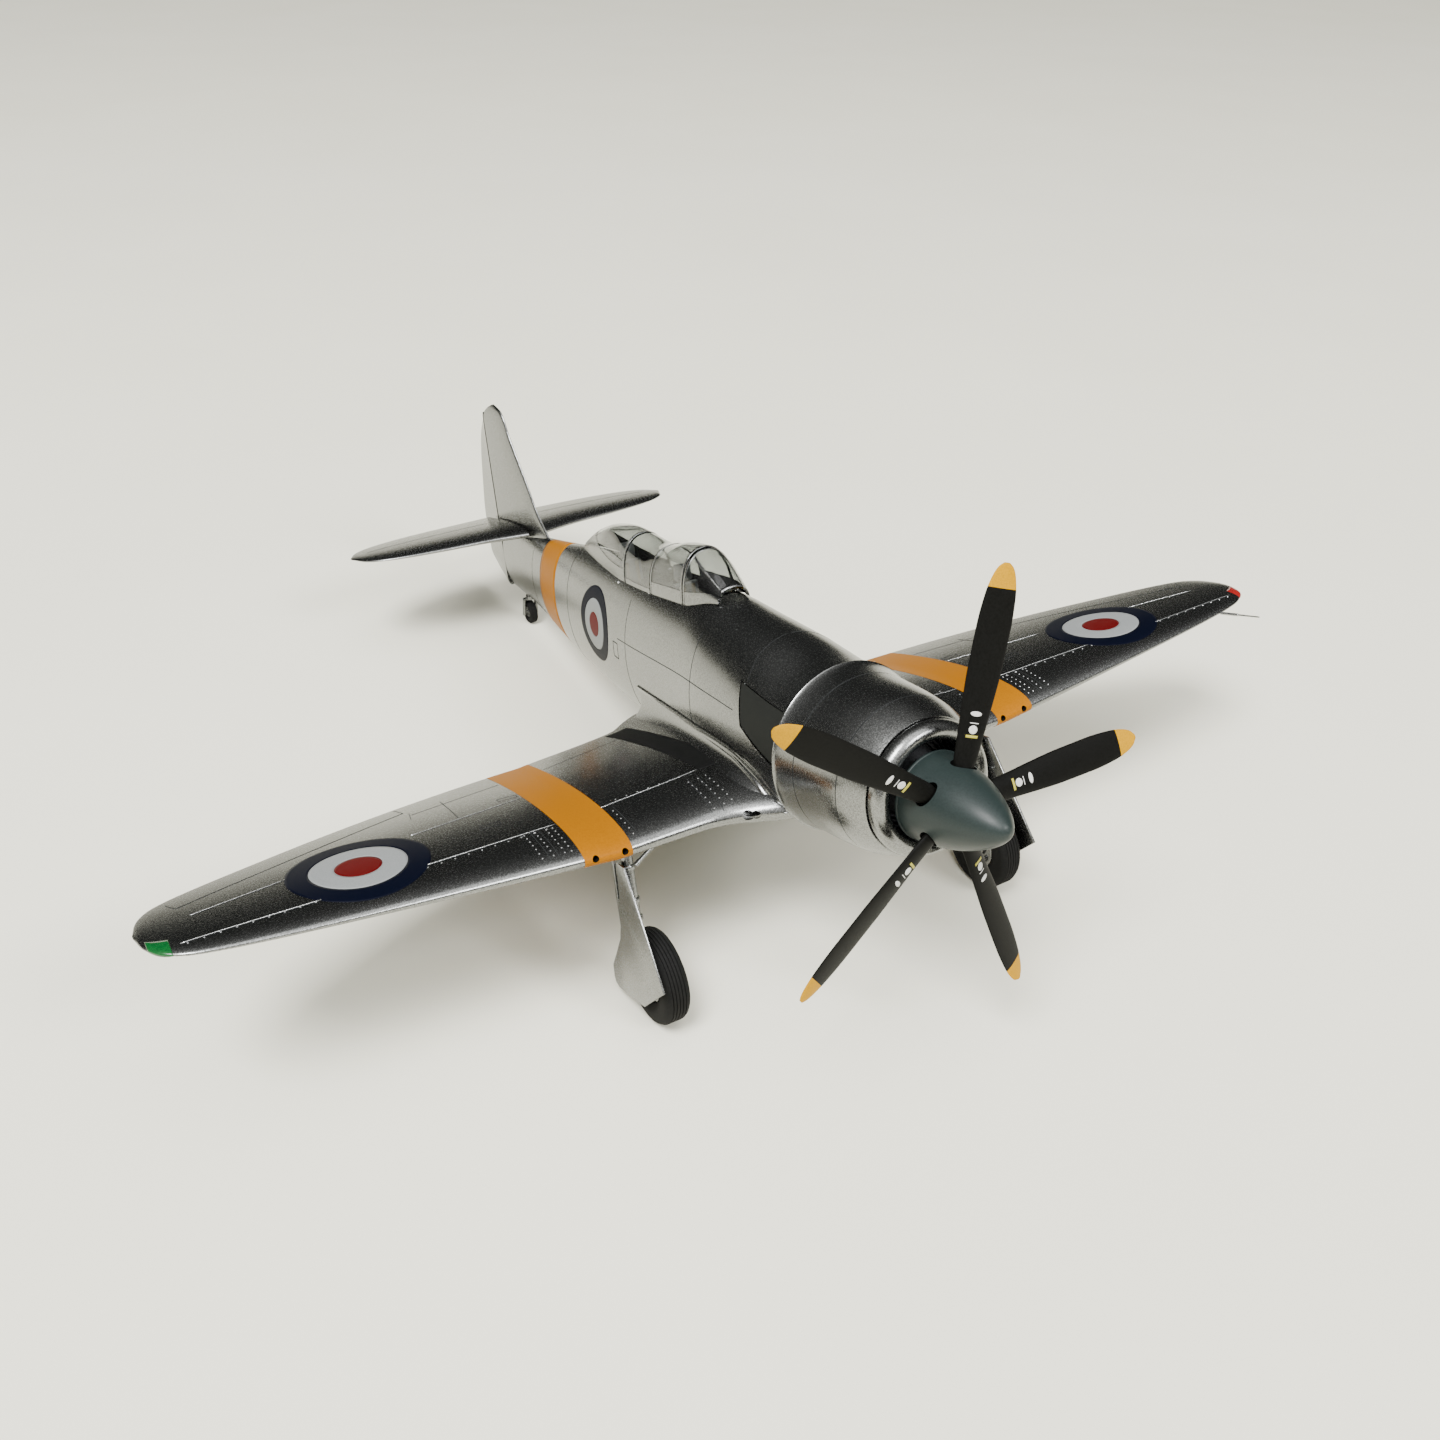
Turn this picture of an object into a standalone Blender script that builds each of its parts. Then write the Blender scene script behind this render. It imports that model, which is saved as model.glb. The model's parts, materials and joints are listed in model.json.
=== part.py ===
"""Display model of a late 1940s two-seat fighter trainer with a radial engine, at 1:48.

The airframe is drawn in its own datum: X to port, Y aft from the spinner tip, Z up from the
thrust line. A parent empty then pitches the datum nose-up, so that the model stands on its
three tyres at Z = 0, with the centre of its footprint at the origin.
"""
import math

import bmesh
import bpy
import numpy as np
from mathutils import Matrix, Vector

# Driving dimensions. Airframe stations are full-size metres, brought to the model by SCALE.
# Kit thicknesses and clearances are model millimetres, brought to metres by MM.
SCALE = 1.0 / 48.0
MM = 0.001
GAP = 0.3 * MM
SKIN = 1.2 * MM
HALF_SPAN = 5.85
DIHEDRAL_START = 2.1
DIHEDRAL_SLOPE = 0.094
WING_Z = -0.42
BLADES = 5
BLADE_Y = 0.634
BLADE_FIRST_ANGLE = 72.4
BLADE_ANGLE = math.radians(20.0)
MAIN_WHEEL = (1.89, 2.575, -1.775)
MAIN_TYRE_RADIUS = 0.439
MAIN_TYRE_HALF_WIDTH = 0.127
TAIL_WHEEL = (0.0, 9.50, -0.375)
TAIL_TYRE_RADIUS = 0.155
TAIL_TYRE_HALF_WIDTH = 0.05
RUDDER_HINGE_Y = 9.95
ENGINE_FRONT = 24.0 * MM
ENGINE_BACK = 33.0 * MM
SHAFT_RADIUS = 1.1 * MM


def smooth_curve(*points):
    """Return a shape-preserving cubic through (station, value) pairs, flat past both ends."""
    s = np.array([p[0] for p in points], float)
    v = np.array([p[1] for p in points], float)
    step = np.diff(s)
    rise = np.diff(v) / step
    slope = np.zeros_like(v)
    slope[0] = rise[0]
    slope[-1] = rise[-1]
    for i in range(1, len(v) - 1):
        if rise[i - 1] * rise[i] > 0.0:
            w1 = 2.0 * step[i] + step[i - 1]
            w2 = step[i] + 2.0 * step[i - 1]
            slope[i] = (w1 + w2) / (w1 / rise[i - 1] + w2 / rise[i])

    def value(at):
        at = min(max(at, s[0]), s[-1])
        i = min(int(np.searchsorted(s, at, side="right")) - 1, len(step) - 1)
        t = (at - s[i]) / step[i]
        a = (1.0 + 2.0 * t) * (1.0 - t) ** 2 * v[i]
        b = t * (1.0 - t) ** 2 * step[i] * slope[i]
        c = t * t * (3.0 - 2.0 * t) * v[i + 1]
        d = t * t * (t - 1.0) * step[i] * slope[i + 1]
        return float(a + b + c + d)

    return value


# Fuselage sections are an upper and a lower half ellipse that share one width.
BODY_TOP = smooth_curve((1.9, 0.76), (2.3, 0.79), (2.9, 0.90), (3.5, 0.975), (4.1, 1.04), (5.2, 1.03),
                        (6.3, 0.99), (7.2, 0.93), (8.0, 0.85), (8.8, 0.79), (9.95, 0.72))
BODY_BOTTOM = smooth_curve((1.9, -0.69), (2.6, -0.75), (3.6, -0.80), (4.8, -0.80), (5.6, -0.74),
                           (6.4, -0.66), (7.2, -0.55), (8.0, -0.38), (8.8, -0.20), (9.95, -0.07))
BODY_WAIST = smooth_curve((1.9, 0.035), (3.5, 0.06), (5.0, 0.10), (7.0, 0.20), (9.95, 0.32))
BODY_HALF_WIDTH = smooth_curve((1.9, 0.735), (2.5, 0.725), (3.5, 0.66), (4.3, 0.59), (5.2, 0.535),
                               (6.3, 0.455), (7.2, 0.375), (8.2, 0.27), (9.1, 0.17), (9.95, 0.08))
WING_LEADING = smooth_curve((0.2, 2.02), (0.6, 2.15), (1.12, 2.40), (1.3, 2.43), (2.4, 2.45),
                            (4.6, 2.51), (5.2, 2.55), (5.5, 2.60), (5.7, 2.71), (5.81, 2.88),
                            (5.85, 3.08))
WING_TRAILING = smooth_curve((0.2, 5.40), (0.5, 5.34), (0.75, 5.20), (0.95, 5.05), (1.3, 4.97),
                             (2.0, 4.86), (2.4, 4.77), (3.3, 4.51), (4.1, 4.23), (4.9, 3.90),
                             (5.24, 3.75), (5.54, 3.60), (5.66, 3.52), (5.75, 3.42), (5.81, 3.30),
                             (5.85, 3.12))
WING_THICKNESS = smooth_curve((0.2, 0.150), (2.1, 0.138), (4.0, 0.115), (5.85, 0.09))
TAIL_LEADING = smooth_curve((0.05, 8.80), (0.6, 8.96), (1.2, 9.04), (1.75, 9.16), (2.05, 9.34),
                            (2.17, 9.60))
TAIL_TRAILING = smooth_curve((0.05, 10.24), (1.2, 10.16), (1.75, 10.04), (2.05, 9.86), (2.17, 9.64))
FIN_LEADING = smooth_curve((0.55, 8.20), (0.85, 8.43), (1.11, 8.68), (1.44, 8.88), (1.99, 9.24),
                           (2.28, 9.40), (2.36, 9.60))
FIN_BACK = smooth_curve((2.20, 9.93), (2.27, 9.86), (2.33, 9.74), (2.36, 9.64))
RUDDER_TRAILING = smooth_curve((-0.10, 10.04), (-0.02, 10.22), (0.10, 10.42), (0.30, 10.62), (0.69, 10.62),
                               (1.36, 10.47), (1.75, 10.34), (1.95, 10.24), (2.11, 10.11), (2.22, 10.00))
CANOPY_RIDGE = smooth_curve((3.84, 1.11), (4.05, 1.27), (4.25, 1.39), (4.42, 1.44), (4.65, 1.425),
                            (5.0, 1.35), (5.25, 1.315), (5.6, 1.345), (5.95, 1.385), (6.3, 1.35),
                            (6.7, 1.23), (7.0, 1.09), (7.2, 0.98))
CANOPY_HALF_WIDTH = smooth_curve((3.84, 0.17), (4.35, 0.30), (5.0, 0.305), (5.7, 0.285), (6.3, 0.225),
                                 (6.8, 0.15), (7.2, 0.07))
COWL_RADIUS = smooth_curve((0.86, 0.47), (0.90, 0.525), (0.99, 0.587), (1.12, 0.643), (1.28, 0.690),
                           (1.50, 0.717), (1.84, 0.735), (2.097, 0.777))
SPINNER_RADIUS = smooth_curve((0.0, 0.012), (0.05, 0.085), (0.15, 0.165), (0.30, 0.245), (0.50, 0.318),
                              (0.70, 0.362), (0.902, 0.387))
BLADE_CHORD = smooth_curve((6.2, 3.2), (8.0, 4.0), (12.0, 4.5), (17.0, 5.2), (23.0, 5.8), (30.0, 5.9),
                           (35.0, 5.3), (38.0, 4.1), (39.8, 2.5), (40.5, 0.9))
BLADE_THICKNESS = smooth_curve((6.2, 2.0), (8.0, 1.7), (12.0, 1.3), (23.0, 0.85), (35.0, 0.6),
                               (40.5, 0.4))


def clear_scene():
    for old in list(bpy.data.objects):
        bpy.data.objects.remove(old, do_unlink=True)


def finish(name, colour, roughness, metallic=0.0, alpha=1.0):
    """Make one Principled material."""
    made = bpy.data.materials.new(name)
    made.use_nodes = True
    shader = made.node_tree.nodes["Principled BSDF"]
    shader.inputs["Base Color"].default_value = (*colour, 1.0)
    shader.inputs["Roughness"].default_value = roughness
    shader.inputs["Metallic"].default_value = metallic
    shader.inputs["Alpha"].default_value = alpha
    made.diffuse_color = (*colour, alpha)
    return made


def place(name, bm, material, parent, origin=(0.0, 0.0, 0.0), guide=False):
    """Turn a bmesh drawn in datum coordinates into a named object under its parent empty."""
    bmesh.ops.remove_doubles(bm, verts=bm.verts, dist=1e-7)
    loose = [edge for edge in bm.edges if not edge.link_faces]
    bmesh.ops.delete(bm, geom=loose, context="EDGES")
    bmesh.ops.recalc_face_normals(bm, faces=bm.faces)
    bmesh.ops.translate(bm, verts=bm.verts, vec=-Vector(origin))
    mesh = bpy.data.meshes.new(name)
    bm.to_mesh(mesh)
    bm.free()
    made = bpy.data.objects.new(name, mesh)
    bpy.context.scene.collection.objects.link(made)
    made.parent = parent
    made.location = Vector(origin)
    mesh.materials.append(material)
    mesh.shade_smooth()
    mesh.set_sharp_from_angle(angle=math.radians(35.0))
    if guide:
        made.hide_render = True
        made.display_type = "WIRE"
    return made


def loft(rings, closed_along=False):
    """Skin a list of equal closed rings, with an end face on the first and last ring."""
    bm = bmesh.new()
    rows = []
    for ring in rings:
        rows.append([bm.verts.new(point) for point in ring])
    count = len(rows[0])
    pairs = list(zip(rows, rows[1:]))
    if closed_along:
        pairs.append((rows[-1], rows[0]))
    for first, second in pairs:
        for i in range(count):
            j = (i + 1) % count
            bm.faces.new((first[i], first[j], second[j], second[i]))
    if not closed_along:
        bm.faces.new(rows[0])
        bm.faces.new(rows[-1])
    return bm


def turned(profile, segments, centre=(0.0, 0.0, 0.0), axis="Y", first=0.0):
    """Revolve a closed profile of (station, radius) points about an axis through centre."""
    rings = []
    for k in range(segments):
        turn = first + 2.0 * math.pi * k / segments
        c = math.cos(turn)
        s = math.sin(turn)
        ring = []
        for station, radius in profile:
            if axis == "Y":
                point = (radius * c, station, radius * s)
            else:
                point = (station, radius * c, radius * s)
            ring.append(Vector(centre) + Vector(point))
        rings.append(ring)
    return loft(rings, closed_along=True)


def rod(start, end, radius, sides=12):
    """Make a plain cylinder between two points."""
    start = Vector(start)
    end = Vector(end)
    along = end - start
    bm = bmesh.new()
    bmesh.ops.create_cone(bm, cap_ends=True, segments=sides, radius1=radius, radius2=radius,
                          depth=along.length)
    turn = along.to_track_quat("Z", "Y").to_matrix().to_4x4()
    bmesh.ops.transform(bm, verts=bm.verts, matrix=Matrix.Translation((start + end) / 2.0) @ turn)
    return bm


def box(low, high):
    """Make a plain box from its lowest and highest corners."""
    low = Vector(low)
    high = Vector(high)
    bm = bmesh.new()
    bmesh.ops.create_cube(bm, size=1.0)
    size = high - low
    bmesh.ops.scale(bm, verts=bm.verts, vec=size)
    bmesh.ops.translate(bm, verts=bm.verts, vec=(low + high) / 2.0)
    return bm


def slab(outline, thickness):
    """Give a flat outline of points a thickness vector."""
    return loft([[Vector(p) for p in outline], [Vector(p) + Vector(thickness) for p in outline]])


def cut(target, cutter):
    """Subtract a guide object from a target."""
    modifier = target.modifiers.new(cutter.name, "BOOLEAN")
    modifier.operation = "DIFFERENCE"
    modifier.solver = "EXACT"
    modifier.object = cutter


def body_section(y, turn, offset=0.0):
    """Return the fuselage skin point at a station and angle from +X, moved out by offset."""
    waist = BODY_WAIST(y)
    half = BODY_HALF_WIDTH(y) * SCALE + offset
    if math.sin(turn) >= 0.0:
        tall = (BODY_TOP(y) - waist) * SCALE + offset
    else:
        tall = (waist - BODY_BOTTOM(y)) * SCALE + offset
    return half * math.cos(turn), waist * SCALE + tall * math.sin(turn)


def deck_height(y, x):
    """Return the height of the fuselage's upper skin at a station and side distance."""
    waist = BODY_WAIST(y) * SCALE
    ratio = min(0.999, abs(x) / (BODY_HALF_WIDTH(y) * SCALE))
    return waist + (BODY_TOP(y) * SCALE - waist) * math.sqrt(1.0 - ratio * ratio)


def wing_section(x, points, upper):
    """Return the outer points of one wing half at span station x, leading to trailing edge."""
    lead = WING_LEADING(x)
    trail = WING_TRAILING(x)
    chord = trail - lead
    plane = WING_Z + DIHEDRAL_SLOPE * max(0.0, x - DIHEDRAL_START)
    wash = 0.06 * (1.0 - x / HALF_SPAN)
    thick = WING_THICKNESS(x)
    side = 1.0 if upper else -1.0
    made = []
    for i in range(points):
        u = 0.5 * (1.0 - math.cos(math.pi * i / (points - 1)))
        half = 5.0 * thick * (0.2969 * math.sqrt(u) - 0.126 * u - 0.3516 * u * u
                              + 0.2843 * u ** 3 - 0.1015 * u ** 4) * chord
        camber = 0.07 * thick * chord * 4.0 * u * (1.0 - u)
        rise = max(half * SCALE + side * camber * SCALE, 0.12 * MM)
        middle = (plane - wash * u) * SCALE
        made.append((u, (lead + chord * u) * SCALE, middle, middle + side * rise))
    return made


def make_wing(side_name, side, finish_used, datum, body_guide):
    """Make one wing as an upper and a lower half, split on the chord plane."""
    stations = [0.36, 0.62, 0.86, 1.14, 1.6, 2.1, 2.9, 3.8, 4.6, 5.15, 5.45, 5.65, 5.78, 5.835]
    for upper in (True, False):
        rings = []
        for x in stations:
            points = wing_section(x, 11, upper)
            shift = 0.5 * GAP if upper else -0.5 * GAP
            outer = [Vector((side * x * SCALE, y, z + shift)) for _, y, _, z in points]
            inner = [Vector((side * x * SCALE, y, m + shift)) for _, y, m, _ in points[1:-1]]
            rings.append(outer + inner[::-1])
        name = "wing_upper_" + side_name if upper else "wing_lower_" + side_name
        half = place(name, loft(rings), finish_used, datum)
        cut(half, body_guide)


def make_body_shell(side_name, side, finish_used, datum, guides):
    """Make one fuselage half as a thin shell with a flat joint on the centre plane."""
    stations = [2.125, 2.5, 2.9, 3.3, 3.7, 4.1, 4.6, 5.2, 5.8, 6.4, 7.0, 7.6, 8.2, 8.8, 9.4, 9.93]
    arc = 11
    rings = []
    for y in stations:
        wall = min(SKIN, 0.45 * BODY_HALF_WIDTH(y) * SCALE)
        ring = []
        for offset, order in ((0.0, range(arc)), (-wall, reversed(range(arc)))):
            for i in order:
                turn = math.pi / 2.0 - math.pi * i / (arc - 1)
                x, z = body_section(y, turn, offset)
                ring.append(Vector((side * max(x, 0.5 * GAP), y * SCALE, z)))
        rings.append(ring)
    shell = place("fuselage_" + side_name, loft(rings), finish_used, datum)
    for guide in guides:
        cut(shell, guide)


def make_body_guide(name, offset, first, last, finish_used, datum):
    """Make a solid of the fuselage's outer shape, grown by offset, to cut its neighbours."""
    rings = []
    for i in range(15):
        y = first + (last - first) * i / 14.0
        ring = []
        for k in range(24):
            x, z = body_section(y, 2.0 * math.pi * k / 24.0, offset)
            ring.append(Vector((x, y * SCALE, z)))
        rings.append(ring)
    return place(name, loft(rings), finish_used, datum, guide=True)


def make_fin(finish_used, datum, body_guide):
    """Make the fixed fin, standing on the rear fuselage up to the rudder hinge line."""
    rings = []
    for z in (0.60, 0.85, 1.11, 1.44, 1.75, 2.0, 2.2, 2.27, 2.33, 2.36):
        lead = FIN_LEADING(z)
        chord = FIN_BACK(z) - lead
        half = (0.075 - 0.025 * (z - 0.6) / 1.76) * SCALE
        ring = []
        for side in (1.0, -1.0):
            order = (0.0, 0.06, 0.25, 0.6, 1.0) if side > 0.0 else (1.0, 0.6, 0.25, 0.06)
            for u in order:
                width = half * min(1.0, 1.9 * math.sqrt(u) * (1.0 - 0.48 * math.sqrt(u)))
                ring.append(Vector((side * width, (lead + chord * u) * SCALE, z * SCALE)))
        rings.append(ring)
    fin = place("fin", loft(rings), finish_used, datum)
    cut(fin, body_guide)


def make_rudder(finish_used, datum):
    """Make the rudder from its rounded foot to the fin cap."""
    rings = []
    for z in (-0.09, -0.04, 0.10, 0.30, 0.69, 1.03, 1.36, 1.79, 2.05, 2.15, 2.24):
        start = RUDDER_HINGE_Y + 0.005
        chord = RUDDER_TRAILING(z) - start
        half = (0.075 - 0.025 * max(0.0, z - 0.6) / 1.76) * SCALE
        ring = []
        for side, order in ((1.0, (0.0, 0.35, 0.7, 1.0)), (-1.0, (1.0, 0.7, 0.35, 0.0))):
            for u in order:
                width = half * (1.0 - u) + 0.2 * MM * u
                ring.append(Vector((side * width, (start + chord * u) * SCALE, z * SCALE)))
        rings.append(ring)
    place("rudder", loft(rings), finish_used, datum)


def make_tailplane(side_name, side, finish_used, datum, body_guide):
    """Make one tailplane with its elevator."""
    rings = []
    for x in (0.10, 0.3, 0.6, 1.0, 1.4, 1.75, 1.95, 2.08, 2.155):
        lead = TAIL_LEADING(x)
        chord = TAIL_TRAILING(x) - lead
        thick = 0.10 - 0.02 * x / 2.17
        upper = []
        lower = []
        for i in range(8):
            u = 0.5 * (1.0 - math.cos(math.pi * i / 7.0))
            half = 5.0 * thick * (0.2969 * math.sqrt(u) - 0.126 * u - 0.3516 * u * u
                                  + 0.2843 * u ** 3 - 0.1015 * u ** 4) * chord * SCALE
            half = max(half, 0.15 * MM)
            y = (lead + chord * u) * SCALE
            upper.append(Vector((side * x * SCALE, y, 0.81 * SCALE + half)))
            lower.append(Vector((side * x * SCALE, y, 0.81 * SCALE - half)))
        rings.append(upper + lower[::-1])
    plane = place("tailplane_" + side_name, loft(rings), finish_used, datum)
    cut(plane, body_guide)


def make_cowling(finish_used, datum):
    """Make the turned cowling with its flared rear edge, and the rolled lip ring ahead of it."""
    centre = (0.0, 0.0, 0.04 * SCALE)
    outer = [(y * SCALE, COWL_RADIUS(y) * SCALE) for y in (1.005, 1.12, 1.28, 1.5, 1.84, 2.02, 2.097)]
    inner = [(y, r - 1.1 * MM) for y, r in reversed(outer)]
    place("engine_cowling", turned(outer + inner, 40, centre), finish_used, datum)
    lip = [(0.985 * SCALE, COWL_RADIUS(0.985) * SCALE)]
    for k in range(1, 7):
        turn = math.pi * k / 7.0
        lip.append(((0.95 - 0.085 * math.sin(turn)) * SCALE, (0.51 + 0.06 * math.cos(turn)) * SCALE))
    lip.append((0.985 * SCALE, 0.455 * SCALE))
    place("cowl_front_ring", turned(lip, 40, centre), finish_used, datum)


def make_engine(finish_used, datum):
    """Make the radial engine as one star of nine cylinders around a bored crankcase."""
    count = 36
    rings = []
    for y in (ENGINE_FRONT, ENGINE_BACK):
        ring = []
        for k in range(count):
            turn = 2.0 * math.pi * k / count
            radius = 12.2 * MM if k % 4 in (0, 1) else 6.4 * MM
            ring.append((radius * math.cos(turn), radius * math.sin(turn), turn))
        rings.append((y, ring))
    star = []
    for y, ring in rings:
        star.append([Vector((x, y, z + 0.04 * SCALE)) for x, z, _ in ring])
    bore = []
    wide = SHAFT_RADIUS + 0.4 * MM
    for y, ring in reversed(rings):
        bore.append([Vector((wide * math.cos(t), y, wide * math.sin(t))) for _, _, t in ring])
    place("radial_engine", loft(star + bore, closed_along=True), finish_used, datum)
    cover = []
    for y, offset in ((2.15, -SKIN - GAP), (2.20, -SKIN - GAP)):
        ring = []
        for k in range(28):
            x, z = body_section(y, 2.0 * math.pi * k / 28.0, offset)
            ring.append(Vector((x, y * SCALE, z)))
        cover.append(ring)
    place("firewall", loft(cover), finish_used, datum)


def blade_frame(index):
    """Return the outward and forward-turning directions of one blade, square to the thrust line."""
    turn = math.radians(BLADE_FIRST_ANGLE + 360.0 * index / BLADES)
    out = Vector((math.cos(turn), 0.0, math.sin(turn)))
    lead = Vector((math.sin(turn), 0.0, -math.cos(turn)))
    return out, lead


def blade_ring(index, radius, chord, thickness, sides):
    """Return one blade section: a flat oval, set at the kit's small, even blade angle."""
    out, lead = blade_frame(index)
    along = lead * math.cos(BLADE_ANGLE) + Vector((0.0, -1.0, 0.0)) * math.sin(BLADE_ANGLE)
    across = out.cross(along)
    centre = out * radius + Vector((0.0, BLADE_Y * SCALE, 0.0))
    ring = []
    for k in range(sides):
        turn = 2.0 * math.pi * k / sides
        width = along * (0.5 * chord * math.cos(turn))
        depth = across * (0.5 * thickness * math.sin(turn))
        ring.append(centre + width + depth)
    return ring


def make_propeller(paint, rotor, datum):
    """Make the spinner, hub, shaft, five blades and their small parts on the thrust line."""
    wall = 0.9 * MM
    outer = [(0.0, 0.0)]
    for y in (0.008, 0.03, 0.09, 0.18, 0.30, 0.45, 0.63, 0.80, 0.902):
        outer.append((y * SCALE, SPINNER_RADIUS(y) * SCALE))
    inner = [(y + 0.6 * MM, r - wall) for y, r in reversed(outer[4:-1])]
    skin = outer + [(outer[-1][0], outer[-1][1] - wall)] + inner + [(3.2 * MM, 0.0)]
    spinner = place("spinner", turned(skin, 40), paint["spinner"], rotor)
    for i in range(BLADES):
        rings = []
        for radius in (5.2 * MM, 11.0 * MM):
            rings.append(blade_ring(i, radius, 4.9 * MM, 3.0 * MM, 14))
        hole = place("spinner_hole_%d" % (i + 1), loft(rings), paint["spinner"], rotor, guide=True)
        cut(spinner, hole)
        rings = []
        for radius in (2.7 * MM, 4.6 * MM):
            rings.append(blade_ring(i, radius, 2.0 * MM, 2.0 * MM, 10))
        for radius in (6.2, 8.0, 12.0, 17.0, 23.0, 30.0, 35.0, 38.0, 39.6, 40.48):
            chord = BLADE_CHORD(radius) * MM
            rings.append(blade_ring(i, radius * MM, chord, BLADE_THICKNESS(radius) * MM, 10))
        place("propeller_blade_%d" % (i + 1), loft(rings), paint["blade"], rotor)
    hub_y = BLADE_Y * SCALE
    steel = paint["steel"]
    hub = rod((0, hub_y - 2.4 * MM, 0), (0, hub_y + 2.4 * MM, 0), 2.3 * MM)
    place("propeller_hub", hub, steel, rotor)
    back = [(17.6 * MM, 6.7 * MM), (18.5 * MM, 6.7 * MM), (18.5 * MM, 1.5 * MM), (17.6 * MM, 1.5 * MM)]
    place("spinner_backplate", turned(back, 24), steel, rotor)
    shaft_end = ENGINE_BACK + GAP
    shaft = rod((0, hub_y + 2.7 * MM, 0), (0, shaft_end, 0), SHAFT_RADIUS)
    place("propeller_shaft", shaft, steel, rotor)
    retainer = rod((0, shaft_end + GAP, 0), (0, shaft_end + GAP + 1.0 * MM, 0), 2.6 * MM)
    place("shaft_retainer", retainer, steel, rotor)


def make_exhaust(side_name, side, finish_used, datum, recess):
    """Make one dark exhaust panel: a curved plate let into the fuselage side behind the cowl."""
    lower = smooth_curve((2.13, 0.01), (2.30, 0.06), (2.50, 0.14), (2.72, 0.24))
    upper_turn = math.radians(39.5)
    rings = []
    grow = GAP if recess else 0.0
    depth = (-0.85 * MM, 1.0 * MM) if recess else (-0.5 * MM, -0.05 * MM)
    for y in (2.15, 2.26, 2.38, 2.50, 2.60, 2.72):
        low_turn = lower(y)
        ring = []
        for offset, order in ((depth[0], range(6)), (depth[1], reversed(range(6)))):
            for i in order:
                turn = low_turn + (upper_turn - low_turn) * i / 5.0
                turn += (-1.0 if i == 0 else 1.0 if i == 5 else 0.0) * grow / (0.7 * SCALE)
                slant = 0.17 * (y - 2.15) / 0.57 * i / 5.0
                end = 0.0
                if recess and y == 2.15:
                    end = -0.06
                elif recess and y == 2.72:
                    end = GAP / SCALE
                x, z = body_section(y + slant, turn, offset)
                ring.append(Vector((side * x, (y + slant + end) * SCALE, z)))
        rings.append(ring)
    name = "exhaust_recess_" + side_name if recess else "exhaust_panel_" + side_name
    return place(name, loft(rings), finish_used, datum, guide=recess)


def make_cockpit(paint, datum):
    """Make the tub, two seats, two instrument panels and two control sticks."""
    front = 4.02 * SCALE
    rear = 6.50 * SCALE
    half = 4.7 * MM
    floor = 1.0 * MM
    rim = 17.6 * MM
    wall = 0.9 * MM
    tub = place("cockpit_tub", box((-half, front, floor), (half, rear, rim)), paint["cockpit"], datum)
    room = box((wall - half, front + wall, floor + wall), (half - wall, rear - wall, rim + wall))
    cut(tub, place("tub_hollow", room, paint["cockpit"], datum, guide=True))
    base = floor + wall + GAP
    for name, y in (("front", 4.72 * SCALE), ("rear", 5.98 * SCALE)):
        seat = [(0, 0), (7.0, 0), (9.2, 17.5), (7.6, 18.2), (5.9, 4.4), (0.3, 3.2)]
        outline = [(-2.6 * MM, y + (u - 4.0) * MM, base + v * MM) for u, v in seat]
        place(name + "_seat", slab(outline, (5.2 * MM, 0, 0)), paint["seat"], datum)
        panel_y = y - 11.5 * MM
        low = (-3.5 * MM, panel_y, base + 9.0 * MM)
        high = (3.5 * MM, panel_y + 1.0 * MM, base + 16.2 * MM)
        place(name + "_instrument_panel", box(low, high), paint["cockpit"], datum)
        stick = rod((0, y - 6.2 * MM, base), (0, y - 6.8 * MM, base + 7.0 * MM), 0.35 * MM, 8)
        place(name + "_control_stick", stick, paint["blade"], datum)


def make_canopy(paint, datum):
    """Make the windscreen, front hood, fixed tunnel and rear hood as thin arched shells."""
    wall = 0.8 * MM
    arc = 13
    spans = (("windscreen", (3.86, 3.98, 4.12, 4.25, 4.34)),
             ("front_hood", (4.36, 4.55, 4.8, 5.04)),
             ("canopy_tunnel", (5.06, 5.25, 5.45, 5.66)),
             ("rear_hood", (5.68, 5.95, 6.3, 6.6, 6.85, 7.02, 7.12)))
    for name, stations in spans:
        rings = []
        for y in stations:
            ring = []
            for inset, order in ((0.0, range(arc)), (wall, reversed(range(arc)))):
                half = CANOPY_HALF_WIDTH(y) * SCALE - inset
                base = deck_height(y, half) + GAP
                tall = CANOPY_RIDGE(y) * SCALE - inset - base
                for i in order:
                    turn = math.pi * i / (arc - 1)
                    x = half * math.copysign(abs(math.cos(turn)) ** 0.85, math.cos(turn))
                    ring.append(Vector((x, y * SCALE, base + tall * math.sin(turn) ** 0.9)))
            rings.append(ring)
        place(name, loft(rings), paint["glass"], datum)


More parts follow.
